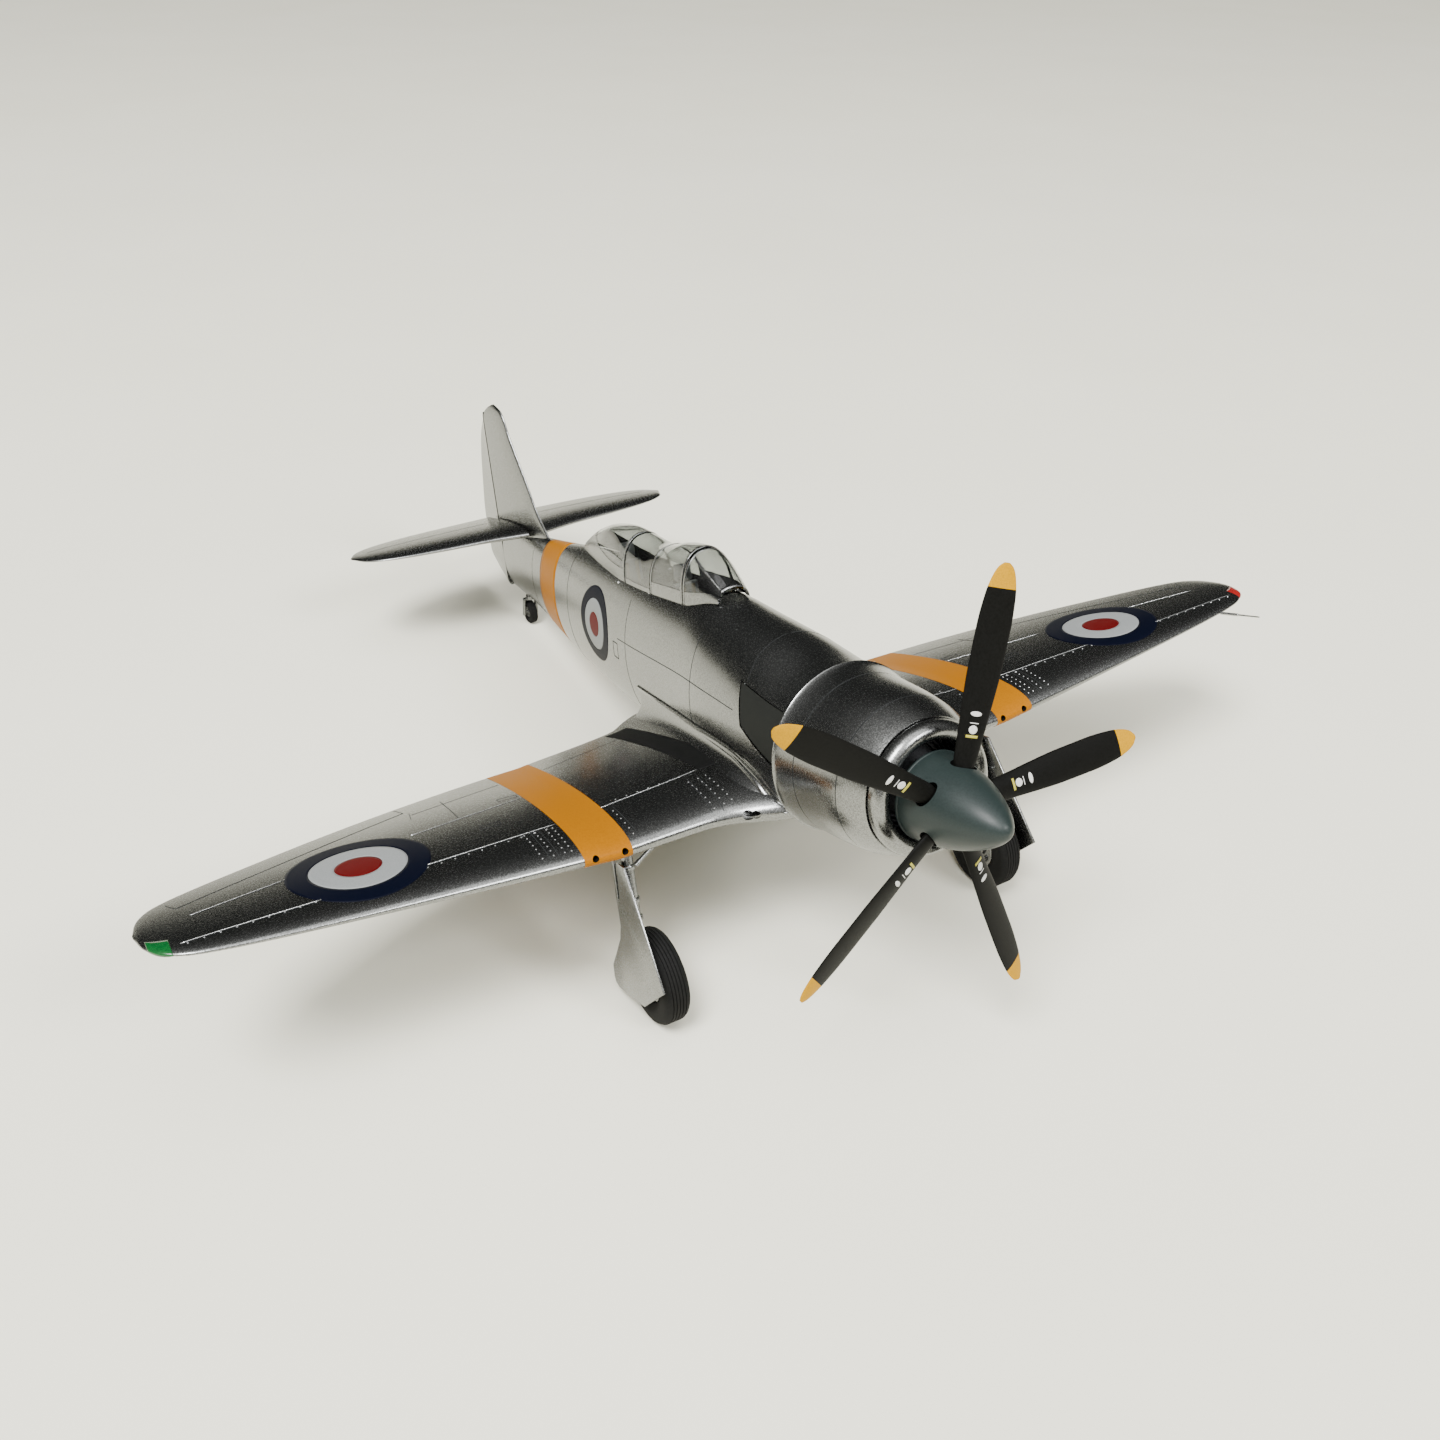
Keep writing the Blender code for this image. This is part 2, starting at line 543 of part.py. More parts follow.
def make_main_gear(side_name, side, paint, datum, wheel_axis):
    """Make one main leg, side strut, door, axle, wheel hub and tyre."""
    wx, wy, wz = MAIN_WHEEL
    rings = []
    legs = ((-0.60, 1.94, 2.765, 1.15, 1.15), (-1.10, 1.967, 2.684, 1.1, 1.15),
            (-1.225, 1.974, 2.664, 1.05, 1.15), (-1.285, 2.005, 2.644, 0.5, 1.3),
            (-1.345, 2.03, 2.634, 0.22, 1.4), (-1.775, 2.04, 2.575, 0.22, 1.6),
            (-1.865, 2.04, 2.565, 0.22, 0.8))
    for z, x, y, rx, ry in legs:
        ring = []
        for k in range(12):
            turn = 2.0 * math.pi * k / 12.0
            across = side * x * SCALE + rx * MM * math.cos(turn)
            ring.append(Vector((across, y * SCALE + ry * MM * math.sin(turn), z * SCALE)))
        rings.append(ring)
    place("main_leg_" + side_name, loft(rings), paint["silver"], datum)
    low = (side * 1.865 * SCALE, 2.765 * SCALE, -0.745 * SCALE)
    high = (side * 1.66 * SCALE, 2.80 * SCALE, -0.64 * SCALE)
    place("side_strut_" + side_name, rod(low, high, 0.5 * MM, 10), paint["silver"], datum)
    outline = ((2.625, -0.65), (2.03, -1.61), (2.455, -1.957), (2.97, -2.018), (3.06, -1.956), (3.06, -1.815),
               (2.847, -1.458), (2.806, -1.305), (2.845, -1.03), (2.86, -0.68), (2.825, -0.67), (2.805, -1.03),
               (2.775, -1.03), (2.775, -0.66))
    ring = []
    for y, z in outline:
        outer_x = 2.039 + 0.053 * (-0.65 - z) / 1.12
        ring.append((side * outer_x * SCALE, y * SCALE, z * SCALE))
    place("leg_door_" + side_name, slab(ring, (-side * 0.45 * MM, 0, 0)), paint["silver"], datum)
    axle_low = (side * (wx + MAIN_TYRE_HALF_WIDTH) * SCALE, wy * SCALE, wz * SCALE)
    axle_high = (side * (wx - 0.06) * SCALE, wy * SCALE, wz * SCALE)
    place("axle_" + side_name, rod(axle_low, axle_high, 0.6 * MM, 12), paint["steel"], datum)
    make_wheel(side_name, MAIN_WHEEL, side, (MAIN_TYRE_RADIUS, MAIN_TYRE_HALF_WIDTH, 0.6 * MM), 36,
               paint, wheel_axis)


def make_wheel(name, centre, side, size, segments, paint, wheel_axis):
    """Make a turned tyre and the hub inside it, both centred on their joint axis.

    The size is the tyre's radius and half width, full size, and the axle's radius on the model.
    """
    radius, half_width, axle = size
    place_at = (side * centre[0] * SCALE, centre[1] * SCALE, centre[2] * SCALE)
    r = radius * SCALE
    w = half_width * SCALE
    seat = 0.52 * r
    flat = r / math.cos(math.pi / segments)
    half_tread = [(0.42 * w, flat), (0.8 * w, 0.955 * flat), (w, 0.85 * flat),
                  (0.98 * w, 0.66 * flat), (0.72 * w, seat)]
    tread = half_tread + [(-x, height) for x, height in reversed(half_tread)]
    first = PITCH - math.pi / 2.0 + math.pi / segments
    place("tyre_" + name, turned(tread, segments, place_at, "X", first), paint["rubber"], wheel_axis, place_at)
    rim = seat - GAP
    bore = axle + 0.25 * MM
    face = rim - bore
    half_disc = [(0.5 * w, rim), (0.62 * w, bore + 0.78 * face), (0.34 * w, bore + 0.62 * face),
                 (0.34 * w, bore + 0.28 * face), (0.62 * w, bore + 0.17 * face), (0.62 * w, bore)]
    disc = half_disc + [(-x, height) for x, height in reversed(half_disc)]
    place("wheel_hub_" + name, turned(disc, 24, place_at, "X"), paint["silver"], wheel_axis, place_at)


def make_tail_gear(paint, datum, wheel_axis):
    """Make the tail wheel with its fork and axle."""
    _, wy, wz = TAIL_WHEEL
    y = wy * SCALE
    z = wz * SCALE
    arm = TAIL_TYRE_HALF_WIDTH * SCALE + 0.35 * MM
    top = z + TAIL_TYRE_RADIUS * SCALE + 0.4 * MM
    stem = 0.9 * MM
    foot = z - 0.8 * MM
    side_plate = arm + 0.6 * MM
    half_shape = ((arm, top), (arm, foot), (side_plate, foot), (side_plate, top + 0.9 * MM),
                  (stem, top + 1.2 * MM), (stem, -2.85 * MM))
    shape = half_shape + tuple((-x, height) for x, height in reversed(half_shape))
    outline = []
    for x, height in shape:
        lean = 0.35 * (height - z)
        outline.append((x, y - 0.7 * MM - lean, height))
    place("tail_wheel_fork", slab(outline, (0, 1.4 * MM, 0)), paint["silver"], datum)
    place("tail_wheel_axle", rod((-arm + 0.3 * MM, y, z), (arm - 0.3 * MM, y, z), 0.35 * MM, 10),
          paint["steel"], datum)
    make_wheel("tail", TAIL_WHEEL, 1.0, (TAIL_TYRE_RADIUS, TAIL_TYRE_HALF_WIDTH, 0.35 * MM), 24,
               paint, wheel_axis)


def make_small_parts(paint, datum):
    """Make the pitot tube ahead of the port wing and the two wing tip lights."""
    tube = [(5.20, 2.535, -0.092), (5.27, 2.10, -0.092)]
    start = [v * SCALE for v in tube[0]]
    end = [v * SCALE for v in tube[1]]
    place("pitot_tube", rod(start, end, 0.28 * MM, 8), paint["steel"], datum)
    for name, side, key in (("left", 1.0, "red"), ("right", -1.0, "green")):
        rings = []
        for x in (5.66, 5.72, 5.78):
            lead = WING_LEADING(x) * SCALE - 0.35 * MM
            z = (WING_Z + DIHEDRAL_SLOPE * (x - DIHEDRAL_START)) * SCALE
            swell = 0.75 * MM
            ring = []
            for k in range(8):
                turn = math.pi / 2.0 + math.pi * k / 7.0
                y = lead + swell * math.cos(turn)
                ring.append(Vector((side * x * SCALE, y, z + 0.7 * swell * math.sin(turn))))
            rings.append(ring)
        place("navigation_light_" + name, loft(rings), paint[key], datum)


def ground_pitch():
    """Return the nose-up angle at which the main and tail tyres stand on one plane."""
    dy = TAIL_WHEEL[1] - MAIN_WHEEL[1]
    dz = TAIL_WHEEL[2] - MAIN_WHEEL[2]
    reach = math.hypot(dy, dz)
    return math.atan2(dz, dy) + math.asin((MAIN_TYRE_RADIUS - TAIL_TYRE_RADIUS) / reach)


PITCH = ground_pitch()


def empty(name, parent=None, location=(0.0, 0.0, 0.0)):
    made = bpy.data.objects.new(name, None)
    bpy.context.scene.collection.objects.link(made)
    made.parent = parent
    made.location = location
    return made


def stand_on_origin(datum):
    """Pitch the datum, then move it so the footprint's centre is at the origin and tyres at Z = 0."""
    datum.rotation_euler = (-PITCH, 0.0, 0.0)
    bpy.context.view_layer.update()
    low = Vector((1.0, 1.0, 1.0))
    high = -low
    for item in bpy.context.scene.objects:
        if item.type != "MESH" or item.hide_render:
            continue
        for vertex in item.data.vertices:
            point = item.matrix_world @ vertex.co
            low = Vector(map(min, low, point))
            high = Vector(map(max, high, point))
    datum.location = (-(low.x + high.x) / 2.0, -(low.y + high.y) / 2.0, -low.z)
    bpy.context.view_layer.update()


def main():
    clear_scene()
    paint = {
        "silver": finish("silver_paint", (0.52, 0.53, 0.54), 0.38, 0.75),
        "spinner": finish("spinner_grey", (0.055, 0.075, 0.078), 0.45),
        "blade": finish("propeller_black", (0.012, 0.012, 0.013), 0.4),
        "steel": finish("bare_steel", (0.45, 0.45, 0.46), 0.3, 1.0),
        "engine": finish("engine_grey", (0.05, 0.05, 0.055), 0.55, 0.4),
        "exhaust": finish("exhaust_black", (0.02, 0.02, 0.02), 0.75),
        "cockpit": finish("cockpit_black", (0.02, 0.022, 0.022), 0.7),
        "seat": finish("seat_grey", (0.38, 0.38, 0.37), 0.7),
        "glass": finish("canopy_clear", (0.85, 0.9, 0.88), 0.05, 0.0, 0.3),
        "rubber": finish("tyre_rubber", (0.018, 0.018, 0.018), 0.75),
        "red": finish("lens_red", (0.55, 0.03, 0.02), 0.2),
        "green": finish("lens_green", (0.01, 0.30, 0.09), 0.2),
    }
    datum = empty("airframe_datum")
    rotor = empty("propeller_axis", datum)
    left_axis = empty("left_wheel_axis", datum)
    right_axis = empty("right_wheel_axis", datum)
    tail_axis = empty("tail_wheel_axis", datum)
    silver = paint["silver"]
    wing_guide = make_body_guide("fuselage_clearance", GAP, 2.0, 9.97, silver, datum)
    well = box((-5.3 * MM, 3.98 * SCALE, 13.0 * MM), (5.3 * MM, 6.55 * SCALE, 30.0 * MM))
    opening = place("cockpit_opening", well, silver, datum, guide=True)
    for side_name, side in (("left", 1.0), ("right", -1.0)):
        recess = make_exhaust(side_name, side, silver, datum, True)
        make_body_shell(side_name, side, silver, datum, (opening, recess))
        make_exhaust(side_name, side, paint["exhaust"], datum, False)
        make_wing(side_name, side, silver, datum, wing_guide)
        make_tailplane(side_name, side, silver, datum, wing_guide)
        axis = left_axis if side > 0.0 else right_axis
        make_main_gear(side_name, side, paint, datum, axis)
    make_fin(silver, datum, wing_guide)
    make_rudder(silver, datum)
    make_cowling(silver, datum)
    make_engine(paint["engine"], datum)
    make_propeller(paint, rotor, datum)
    make_cockpit(paint, datum)
    make_canopy(paint, datum)
    make_tail_gear(paint, datum, tail_axis)
    make_small_parts(paint, datum)
    stand_on_origin(datum)


main()
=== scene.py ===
import json
import math

import bmesh
import bpy
import numpy as np
from mathutils import Matrix, Vector


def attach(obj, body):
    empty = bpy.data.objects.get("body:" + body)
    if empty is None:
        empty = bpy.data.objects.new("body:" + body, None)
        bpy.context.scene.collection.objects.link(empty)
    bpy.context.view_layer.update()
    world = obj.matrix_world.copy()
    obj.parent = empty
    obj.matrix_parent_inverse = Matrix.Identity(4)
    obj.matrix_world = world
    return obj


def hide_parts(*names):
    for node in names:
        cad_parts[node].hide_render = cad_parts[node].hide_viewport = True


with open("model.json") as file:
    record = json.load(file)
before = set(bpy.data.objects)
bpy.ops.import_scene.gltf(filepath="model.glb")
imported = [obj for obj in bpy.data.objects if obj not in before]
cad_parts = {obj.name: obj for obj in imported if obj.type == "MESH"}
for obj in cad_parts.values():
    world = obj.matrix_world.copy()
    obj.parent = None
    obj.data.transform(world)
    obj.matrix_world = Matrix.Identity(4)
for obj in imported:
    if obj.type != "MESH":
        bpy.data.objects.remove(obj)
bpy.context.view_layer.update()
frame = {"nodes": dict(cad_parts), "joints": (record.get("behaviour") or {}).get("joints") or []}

# The propeller's joint lies on that line, at the blades' station, and its axis gives the
# nose-up tilt of the standing model.
SCALE = 1.0 / 48.0
MM = 0.001
BLADE_STATION = 0.634
PORT = Vector((1.0, 0.0, 0.0))


def joint_named(name):
    """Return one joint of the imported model."""
    return next(joint for joint in frame["joints"] if joint["name"] == name)


spin = joint_named("propeller_spin")
AFT = -Vector(spin["axis"]).normalized()
UP = PORT.cross(AFT)
nose = Vector(spin["pos_m"]) - AFT * (BLADE_STATION * SCALE)


def at(x, y, z):
    """Return the place of a full-size station on the model."""
    return nose + (PORT * x + AFT * y + UP * z) * SCALE


# ---------------------------------------------------------------- camera, floor and light
# A camera ahead of the starboard wing, looking down on the nose and slightly rolled. The
# floor is a large sheet of cream paper, under a soft overhead light, with a grey room that
# is dark near the horizon, which is what the silver paint mirrors.
VIEW_PLACE = (-5.939, -6.863, 4.771)
FLOOR_SIZE = 6.0
view_line = Vector((0.43155, 0.70679, -0.56054))
view_right = Vector((0.86025, -0.50948, 0.01989))
camera_data = bpy.data.cameras.new("camera")
camera_data.lens = 33.4
camera_data.sensor_width = 36.0
camera_data.clip_start = 0.01
camera_data.clip_end = 30.0
camera = bpy.data.objects.new("camera", camera_data)
bpy.context.scene.collection.objects.link(camera)
view_up = view_right.cross(view_line)
turn = Matrix((view_right, view_up, -view_line)).transposed()
camera.matrix_world = Matrix.Translation(at(*VIEW_PLACE)) @ turn.to_4x4()
bpy.context.scene.camera = camera


def wire(tree, start, end):
    """Join an output to an input, each given as (node, the socket's name or number)."""
    tree.links.new(start[0].outputs[start[1]], end[0].inputs[end[1]])


def material(name):
    """Return a new material with its node tree and its Principled shader."""
    made = bpy.data.materials.new(name)
    made.use_nodes = True
    return made, made.node_tree, made.node_tree.nodes["Principled BSDF"]


bm = bmesh.new()
bmesh.ops.create_grid(bm, x_segments=4, y_segments=4, size=FLOOR_SIZE)
mesh = bpy.data.meshes.new("floor")
bm.to_mesh(mesh)
bm.free()
floor = bpy.data.objects.new("floor", mesh)
bpy.context.scene.collection.objects.link(floor)
paper, tree, shader = material("cream_paper")
place_node = tree.nodes.new("ShaderNodeTexCoord")
mottle = tree.nodes.new("ShaderNodeTexNoise")
mottle.inputs["Scale"].default_value = 9.0
mottle.inputs["Detail"].default_value = 4.0
tint = tree.nodes.new("ShaderNodeValToRGB")
tint.color_ramp.elements[0].color = (0.82, 0.80, 0.66, 1.0)
tint.color_ramp.elements[1].color = (0.88, 0.86, 0.73, 1.0)
wire(tree, (place_node, "Object"), (mottle, "Vector"))
wire(tree, (mottle, "Fac"), (tint, "Fac"))
wire(tree, (tint, "Color"), (shader, "Base Color"))
shader.inputs["Roughness"].default_value = 0.8
mesh.materials.append(paper)

world = bpy.data.worlds.new("room")
bpy.context.scene.world = world
world.use_nodes = True
tree = world.node_tree
backdrop = tree.nodes["Background"]
heading = tree.nodes.new("ShaderNodeTexCoord")
climb = tree.nodes.new("ShaderNodeValToRGB")
steps = climb.color_ramp.elements
steps[0].color = (0.045, 0.047, 0.044, 1.0)
steps[1].position = 0.92
steps[1].color = (1.0, 0.99, 0.96, 1.0)
steps.new(0.30).color = (0.17, 0.17, 0.165, 1.0)
steps.new(0.62).color = (0.36, 0.36, 0.35, 1.0)
lean = tree.nodes.new("ShaderNodeVectorMath")
lean.operation = "DOT_PRODUCT"
lean.inputs[1].default_value = (-0.35, -0.45, 0.82)
wire(tree, (heading, "Generated"), (lean, "Vector"))
wire(tree, (lean, "Value"), (climb, "Fac"))
seen = tree.nodes.new("ShaderNodeLightPath")
pale = tree.nodes.new("ShaderNodeMix")
pale.data_type = "RGBA"
wire(tree, (seen, "Is Camera Ray"), (pale, "Factor"))
wire(tree, (climb, "Color"), (pale, 6))
wire(tree, (pale, 2), (backdrop, "Color"))
pale.inputs[7].default_value = (0.80, 0.79, 0.74, 1.0)
backdrop.inputs["Strength"].default_value = 1.3


def soft_light(name, place, aim, size, power):
    """Hang one square soft light and turn it to a point."""
    data = bpy.data.lights.new(name, "AREA")
    data.size = size
    data.energy = power
    lamp = bpy.data.objects.new(name, data)
    bpy.context.scene.collection.objects.link(lamp)
    lamp.location = place
    lamp.rotation_euler = (Vector(aim) - Vector(place)).to_track_quat("-Z", "Y").to_euler()


soft_light("overhead", (-0.72, -0.46, 1.45), (0.0, -0.05, 0.0), 0.60, 46.0)
soft_light("front_fill", (0.55, -1.35, 1.20), (0.0, 0.0, 0.02), 0.50, 24.0)
data = bpy.data.lights.new("ceiling", "SUN")
data.energy = 1.3
data.angle = 1.0
ceiling = bpy.data.objects.new("ceiling", data)
bpy.context.scene.collection.objects.link(ceiling)
ceiling.rotation_euler = Vector((0.0, -0.30, 0.95)).to_track_quat("Z", "Y").to_euler()

# ---------------------------------------------------------------- shared finishes
# Airbrushed kit paints. Grain is the speckle of a sprayed coat: metal flakes in the silver,
# and fine pigment in the others. A slow cloud varies the coat over a hand's width.
grain = bpy.data.node_groups.new("sprayed_grain", "ShaderNodeTree")
for label, kind in (("Light", "NodeSocketColor"), ("Dark", "NodeSocketColor"),
                    ("Scale", "NodeSocketFloat"), ("Rough", "NodeSocketFloat"),
                    ("Rough Spread", "NodeSocketFloat"), ("Depth", "NodeSocketFloat")):
    grain.interface.new_socket(label, in_out="INPUT", socket_type=kind)
for label, kind in (("Color", "NodeSocketColor"), ("Roughness", "NodeSocketFloat"),
                    ("Normal", "NodeSocketVector")):
    grain.interface.new_socket(label, in_out="OUTPUT", socket_type=kind)
given = grain.nodes.new("NodeGroupInput")
result = grain.nodes.new("NodeGroupOutput")
coords = grain.nodes.new("ShaderNodeTexCoord")
fine = grain.nodes.new("ShaderNodeTexNoise")
fine.inputs["Detail"].default_value = 2.0
fine.inputs["Roughness"].default_value = 0.7
cloud = grain.nodes.new("ShaderNodeTexNoise")
cloud.inputs["Scale"].default_value = 45.0
cloud.inputs["Detail"].default_value = 3.0
spread = grain.nodes.new("ShaderNodeMapRange")
spread.inputs["From Min"].default_value = 0.35
spread.inputs["From Max"].default_value = 0.65
blend = grain.nodes.new("ShaderNodeMath")
blend.operation = "MULTIPLY_ADD"
blend.inputs[1].default_value = 0.35
colours = grain.nodes.new("ShaderNodeMix")
colours.data_type = "RGBA"
vary = grain.nodes.new("ShaderNodeMath")
vary.operation = "MULTIPLY_ADD"
bumps = grain.nodes.new("ShaderNodeBump")
bumps.inputs["Distance"].default_value = 0.02 * MM
wire(grain, (coords, "Object"), (fine, "Vector"))
wire(grain, (coords, "Object"), (cloud, "Vector"))
wire(grain, (given, "Scale"), (fine, "Scale"))
wire(grain, (fine, "Fac"), (spread, "Value"))
wire(grain, (cloud, "Fac"), (blend, 0))
wire(grain, (spread, "Result"), (blend, 2))
wire(grain, (blend, 0), (colours, 0))
wire(grain, (given, "Dark"), (colours, 6))
wire(grain, (given, "Light"), (colours, 7))
wire(grain, (colours, 2), (result, "Color"))
wire(grain, (spread, "Result"), (vary, 0))
wire(grain, (given, "Rough Spread"), (vary, 1))
wire(grain, (given, "Rough"), (vary, 2))
wire(grain, (vary, 0), (result, "Roughness"))
wire(grain, (fine, "Fac"), (bumps, "Height"))
wire(grain, (given, "Depth"), (bumps, "Strength"))
wire(grain, (bumps, "Normal"), (result, "Normal"))


def paint(name, light, dark, scale, rough, rough_spread, depth, metallic=0.0, coat=0.0, gloss=0.3):
    """Return a sprayed paint whose grain goes from a dark to a light tone."""
    made, tree, shader = material(name)
    spray = tree.nodes.new("ShaderNodeGroup")
    spray.node_tree = grain
    spray.inputs["Light"].default_value = (*light, 1.0)
    spray.inputs["Dark"].default_value = (*dark, 1.0)
    spray.inputs["Scale"].default_value = scale
    spray.inputs["Rough"].default_value = rough
    spray.inputs["Rough Spread"].default_value = rough_spread
    spray.inputs["Depth"].default_value = depth
    wire(tree, (spray, "Color"), (shader, "Base Color"))
    wire(tree, (spray, "Roughness"), (shader, "Roughness"))
    wire(tree, (spray, "Normal"), (shader, "Normal"))
    shader.inputs["Metallic"].default_value = metallic
    shader.inputs["Specular IOR Level"].default_value = 0.5 if metallic else gloss
    shader.inputs["Coat Weight"].default_value = coat
    shader.inputs["Coat Roughness"].default_value = 0.2
    return made


silver = paint("silver_flake", (0.26, 0.264, 0.26), (0.125, 0.128, 0.125), 3600.0, 0.19, 0.10, 0.28, 1.0)
yellow = paint("band_yellow", (0.30, 0.108, 0.0005), (0.24, 0.083, 0.0005), 4000.0,
               0.36, 0.08, 0.2, gloss=0.06)
navy = paint("marking_navy", (0.0022, 0.0032, 0.009), (0.001, 0.0015, 0.005), 4000.0,
             0.4, 0.06, 0.1, gloss=0.04)
white = paint("marking_white", (0.22, 0.23, 0.23), (0.18, 0.19, 0.19), 4000.0, 0.4, 0.06, 0.1, gloss=0.12)
red = paint("marking_red", (0.085, 0.0025, 0.003), (0.065, 0.002, 0.0025), 4000.0,
            0.4, 0.06, 0.1, gloss=0.05)
black = paint("matt_black", (0.006, 0.0062, 0.006), (0.003, 0.0032, 0.003), 3500.0,
              0.6, 0.12, 0.35, gloss=0.08)
exhaust_black = paint("exhaust_black", (0.014, 0.015, 0.013), (0.008, 0.009, 0.008), 2200.0,
                      0.6, 0.15, 0.5, gloss=0.12)
line_grey = paint("panel_line_wash", (0.030, 0.032, 0.032), (0.014, 0.015, 0.015), 3000.0,
                  0.5, 0.1, 0.1, gloss=0.05)
# Bright silver used for the spar glint lines and for the rivet and fastener heads; its brightness is a
# painted glint.
painted_glint_silver = paint("silver_painted_glint", (0.86, 0.87, 0.88), (0.66, 0.67, 0.68), 5000.0, 0.22, 0.08, 0.2, 0.9)


# ---------------------------------------------------------------- fuselage
# The two moulded halves, glued and filled so that no joint shows, sprayed silver. A thin
# shell with an open cockpit and a shallow recess behind the cowling on each side. Its
# sections are an upper and a lower half ellipse that share one width.
def smooth_curve(*points):
    """Return a shape-preserving cubic through (station, value) pairs, flat past both ends."""
    s = np.array([p[0] for p in points], float)
    v = np.array([p[1] for p in points], float)
    step = np.diff(s)
    rise = np.diff(v) / step
    slope = np.zeros_like(v)
    slope[0] = rise[0]
    slope[-1] = rise[-1]
    for i in range(1, len(v) - 1):
        if rise[i - 1] * rise[i] > 0.0:
            w1 = 2.0 * step[i] + step[i - 1]
            w2 = step[i] + 2.0 * step[i - 1]
            slope[i] = (w1 + w2) / (w1 / rise[i - 1] + w2 / rise[i])

    def value(station):
        station = min(max(station, s[0]), s[-1])
        i = min(int(np.searchsorted(s, station, side="right")) - 1, len(step) - 1)
        t = (station - s[i]) / step[i]
        a = (1.0 + 2.0 * t) * (1.0 - t) ** 2 * v[i]
        b = t * (1.0 - t) ** 2 * step[i] * slope[i]
        c = t * t * (3.0 - 2.0 * t) * v[i + 1]
        d = t * t * (t - 1.0) * step[i] * slope[i + 1]
        return float(a + b + c + d)

    return value


body_top = smooth_curve((1.9, 0.76), (2.3, 0.79), (2.9, 0.90), (3.5, 0.975), (4.1, 1.04), (5.2, 1.03),
                        (6.3, 0.99), (7.2, 0.93), (8.0, 0.85), (8.8, 0.79), (9.95, 0.72))
body_bottom = smooth_curve((1.9, -0.69), (2.6, -0.75), (3.6, -0.80), (4.8, -0.80), (5.6, -0.74),
                           (6.4, -0.66), (7.2, -0.55), (8.0, -0.38), (8.8, -0.20), (9.95, -0.07))
body_waist = smooth_curve((1.9, 0.035), (3.5, 0.06), (5.0, 0.10), (7.0, 0.20), (9.95, 0.32))
body_half = smooth_curve((1.9, 0.735), (2.5, 0.725), (3.5, 0.66), (4.3, 0.59), (5.2, 0.535),
                         (6.3, 0.455), (7.2, 0.375), (8.2, 0.27), (9.1, 0.17), (9.95, 0.08))
BODY_FRONT = 2.125
BODY_BACK = 9.93
BODY_WALL = 1.2 * MM


def to_side(side, turn):
    """Mirror a turn from port to starboard when side is negative."""
    return turn if side > 0.0 else math.pi - turn


def hull(y, turn, lift=0.0):
    """Return a skin point of the fuselage, the turn counted from port through the top."""
    waist = body_waist(y)
    out = lift / SCALE
    tall = body_top(y) - waist if math.sin(turn) >= 0.0 else waist - body_bottom(y)
    return at((body_half(y) + out) * math.cos(turn), y, waist + (tall + out) * math.sin(turn))


def skin(surface, across, along, closed=True):
    """Lay a grid over surface(u, w), where u and w go from 0 to 1, and close its ends."""
    bm = bmesh.new()
    bmesh.ops.create_grid(bm, x_segments=across, y_segments=along, size=0.5)
    for vertex in bm.verts:
        vertex.co = surface(vertex.co.x + 0.5, vertex.co.y + 0.5)
    bmesh.ops.remove_doubles(bm, verts=bm.verts, dist=1e-7)
    if closed:
        edges = [edge for edge in bm.edges if edge.is_boundary]
        bmesh.ops.holes_fill(bm, edges=edges, sides=0)
    bmesh.ops.recalc_face_normals(bm, faces=bm.faces)
    middle = sum((vertex.co for vertex in bm.verts), Vector()) / len(bm.verts)
    facing = sum(face.normal.dot(face.calc_center_median() - middle) for face in bm.faces)
    if not closed and facing < 0.0:
        bmesh.ops.reverse_faces(bm, faces=bm.faces)
    return bm


def smooth(mesh, crease=35.0):
    mesh.shade_smooth()
    mesh.set_sharp_from_angle(angle=math.radians(crease))


def piece(name, bm, finishes, body=None, slot=None, *nodes, crease=35.0):
    """Make a named piece that rides on a body and stands for CAD nodes; a cutter has no body."""
    mesh = bpy.data.meshes.new(name)
    bm.to_mesh(mesh)
    bm.free()
    made = bpy.data.objects.new(name, mesh)
    bpy.context.scene.collection.objects.link(made)
    for used in finishes:
        mesh.materials.append(used)
    smooth(mesh, crease)
    if body:
        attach(made, body)
    if nodes:
        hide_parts(*nodes)
    return made


def silver_piece(name, bm, *nodes, crease=35.0):
    """Make a piece of the airframe that is sprayed silver."""
    return piece(name, bm, [silver], "airframe", "silver_paint", *nodes, crease=crease)


def settle(made, *cutters):
    """Cut the cutters out of a piece, apply its modifiers and throw the cutters away."""
    for cutter in cutters:
        cut = made.modifiers.new(cutter.name, "BOOLEAN")
        cut.operation = "DIFFERENCE"
        cut.solver = "EXACT"
        cut.object = cutter
    graph = bpy.context.evaluated_depsgraph_get()
    mesh = bpy.data.meshes.new_from_object(made.evaluated_get(graph))
    made.modifiers.clear()
    made.data = mesh
    smooth(mesh)
    for cutter in cutters:
        bpy.data.objects.remove(cutter)


def block(low, high):
    """Return a bmesh box between two full-size corners, square to the datum."""
    bm = bmesh.new()
    bmesh.ops.create_cube(bm, size=1.0)
    for vertex in bm.verts:
        share = vertex.co + Vector((0.5, 0.5, 0.5))
        vertex.co = at(*[a + (b - a) * t for a, b, t in zip(low, high, share)])
    return bm


def body_shell(u, w):
    return hull(BODY_FRONT + (BODY_BACK - BODY_FRONT) * u, 2.0 * math.pi * w)


fuselage = silver_piece("fuselage_skin", skin(body_shell, 110, 128, closed=False),
                        "fuselage_left", "fuselage_right")
wall = fuselage.modifiers.new("wall", "SOLIDIFY")
wall.thickness = BODY_WALL
wall.offset = -1.0
exhaust_low = smooth_curve((2.0, 0.0), (2.13, 0.01), (2.30, 0.06), (2.50, 0.14), (2.72, 0.24))
EXHAUST_TOP = math.radians(39.5)
RECESS_GAP = 0.015
RECESS_DEPTH = 0.75 * MM
SEAM = 1e-4


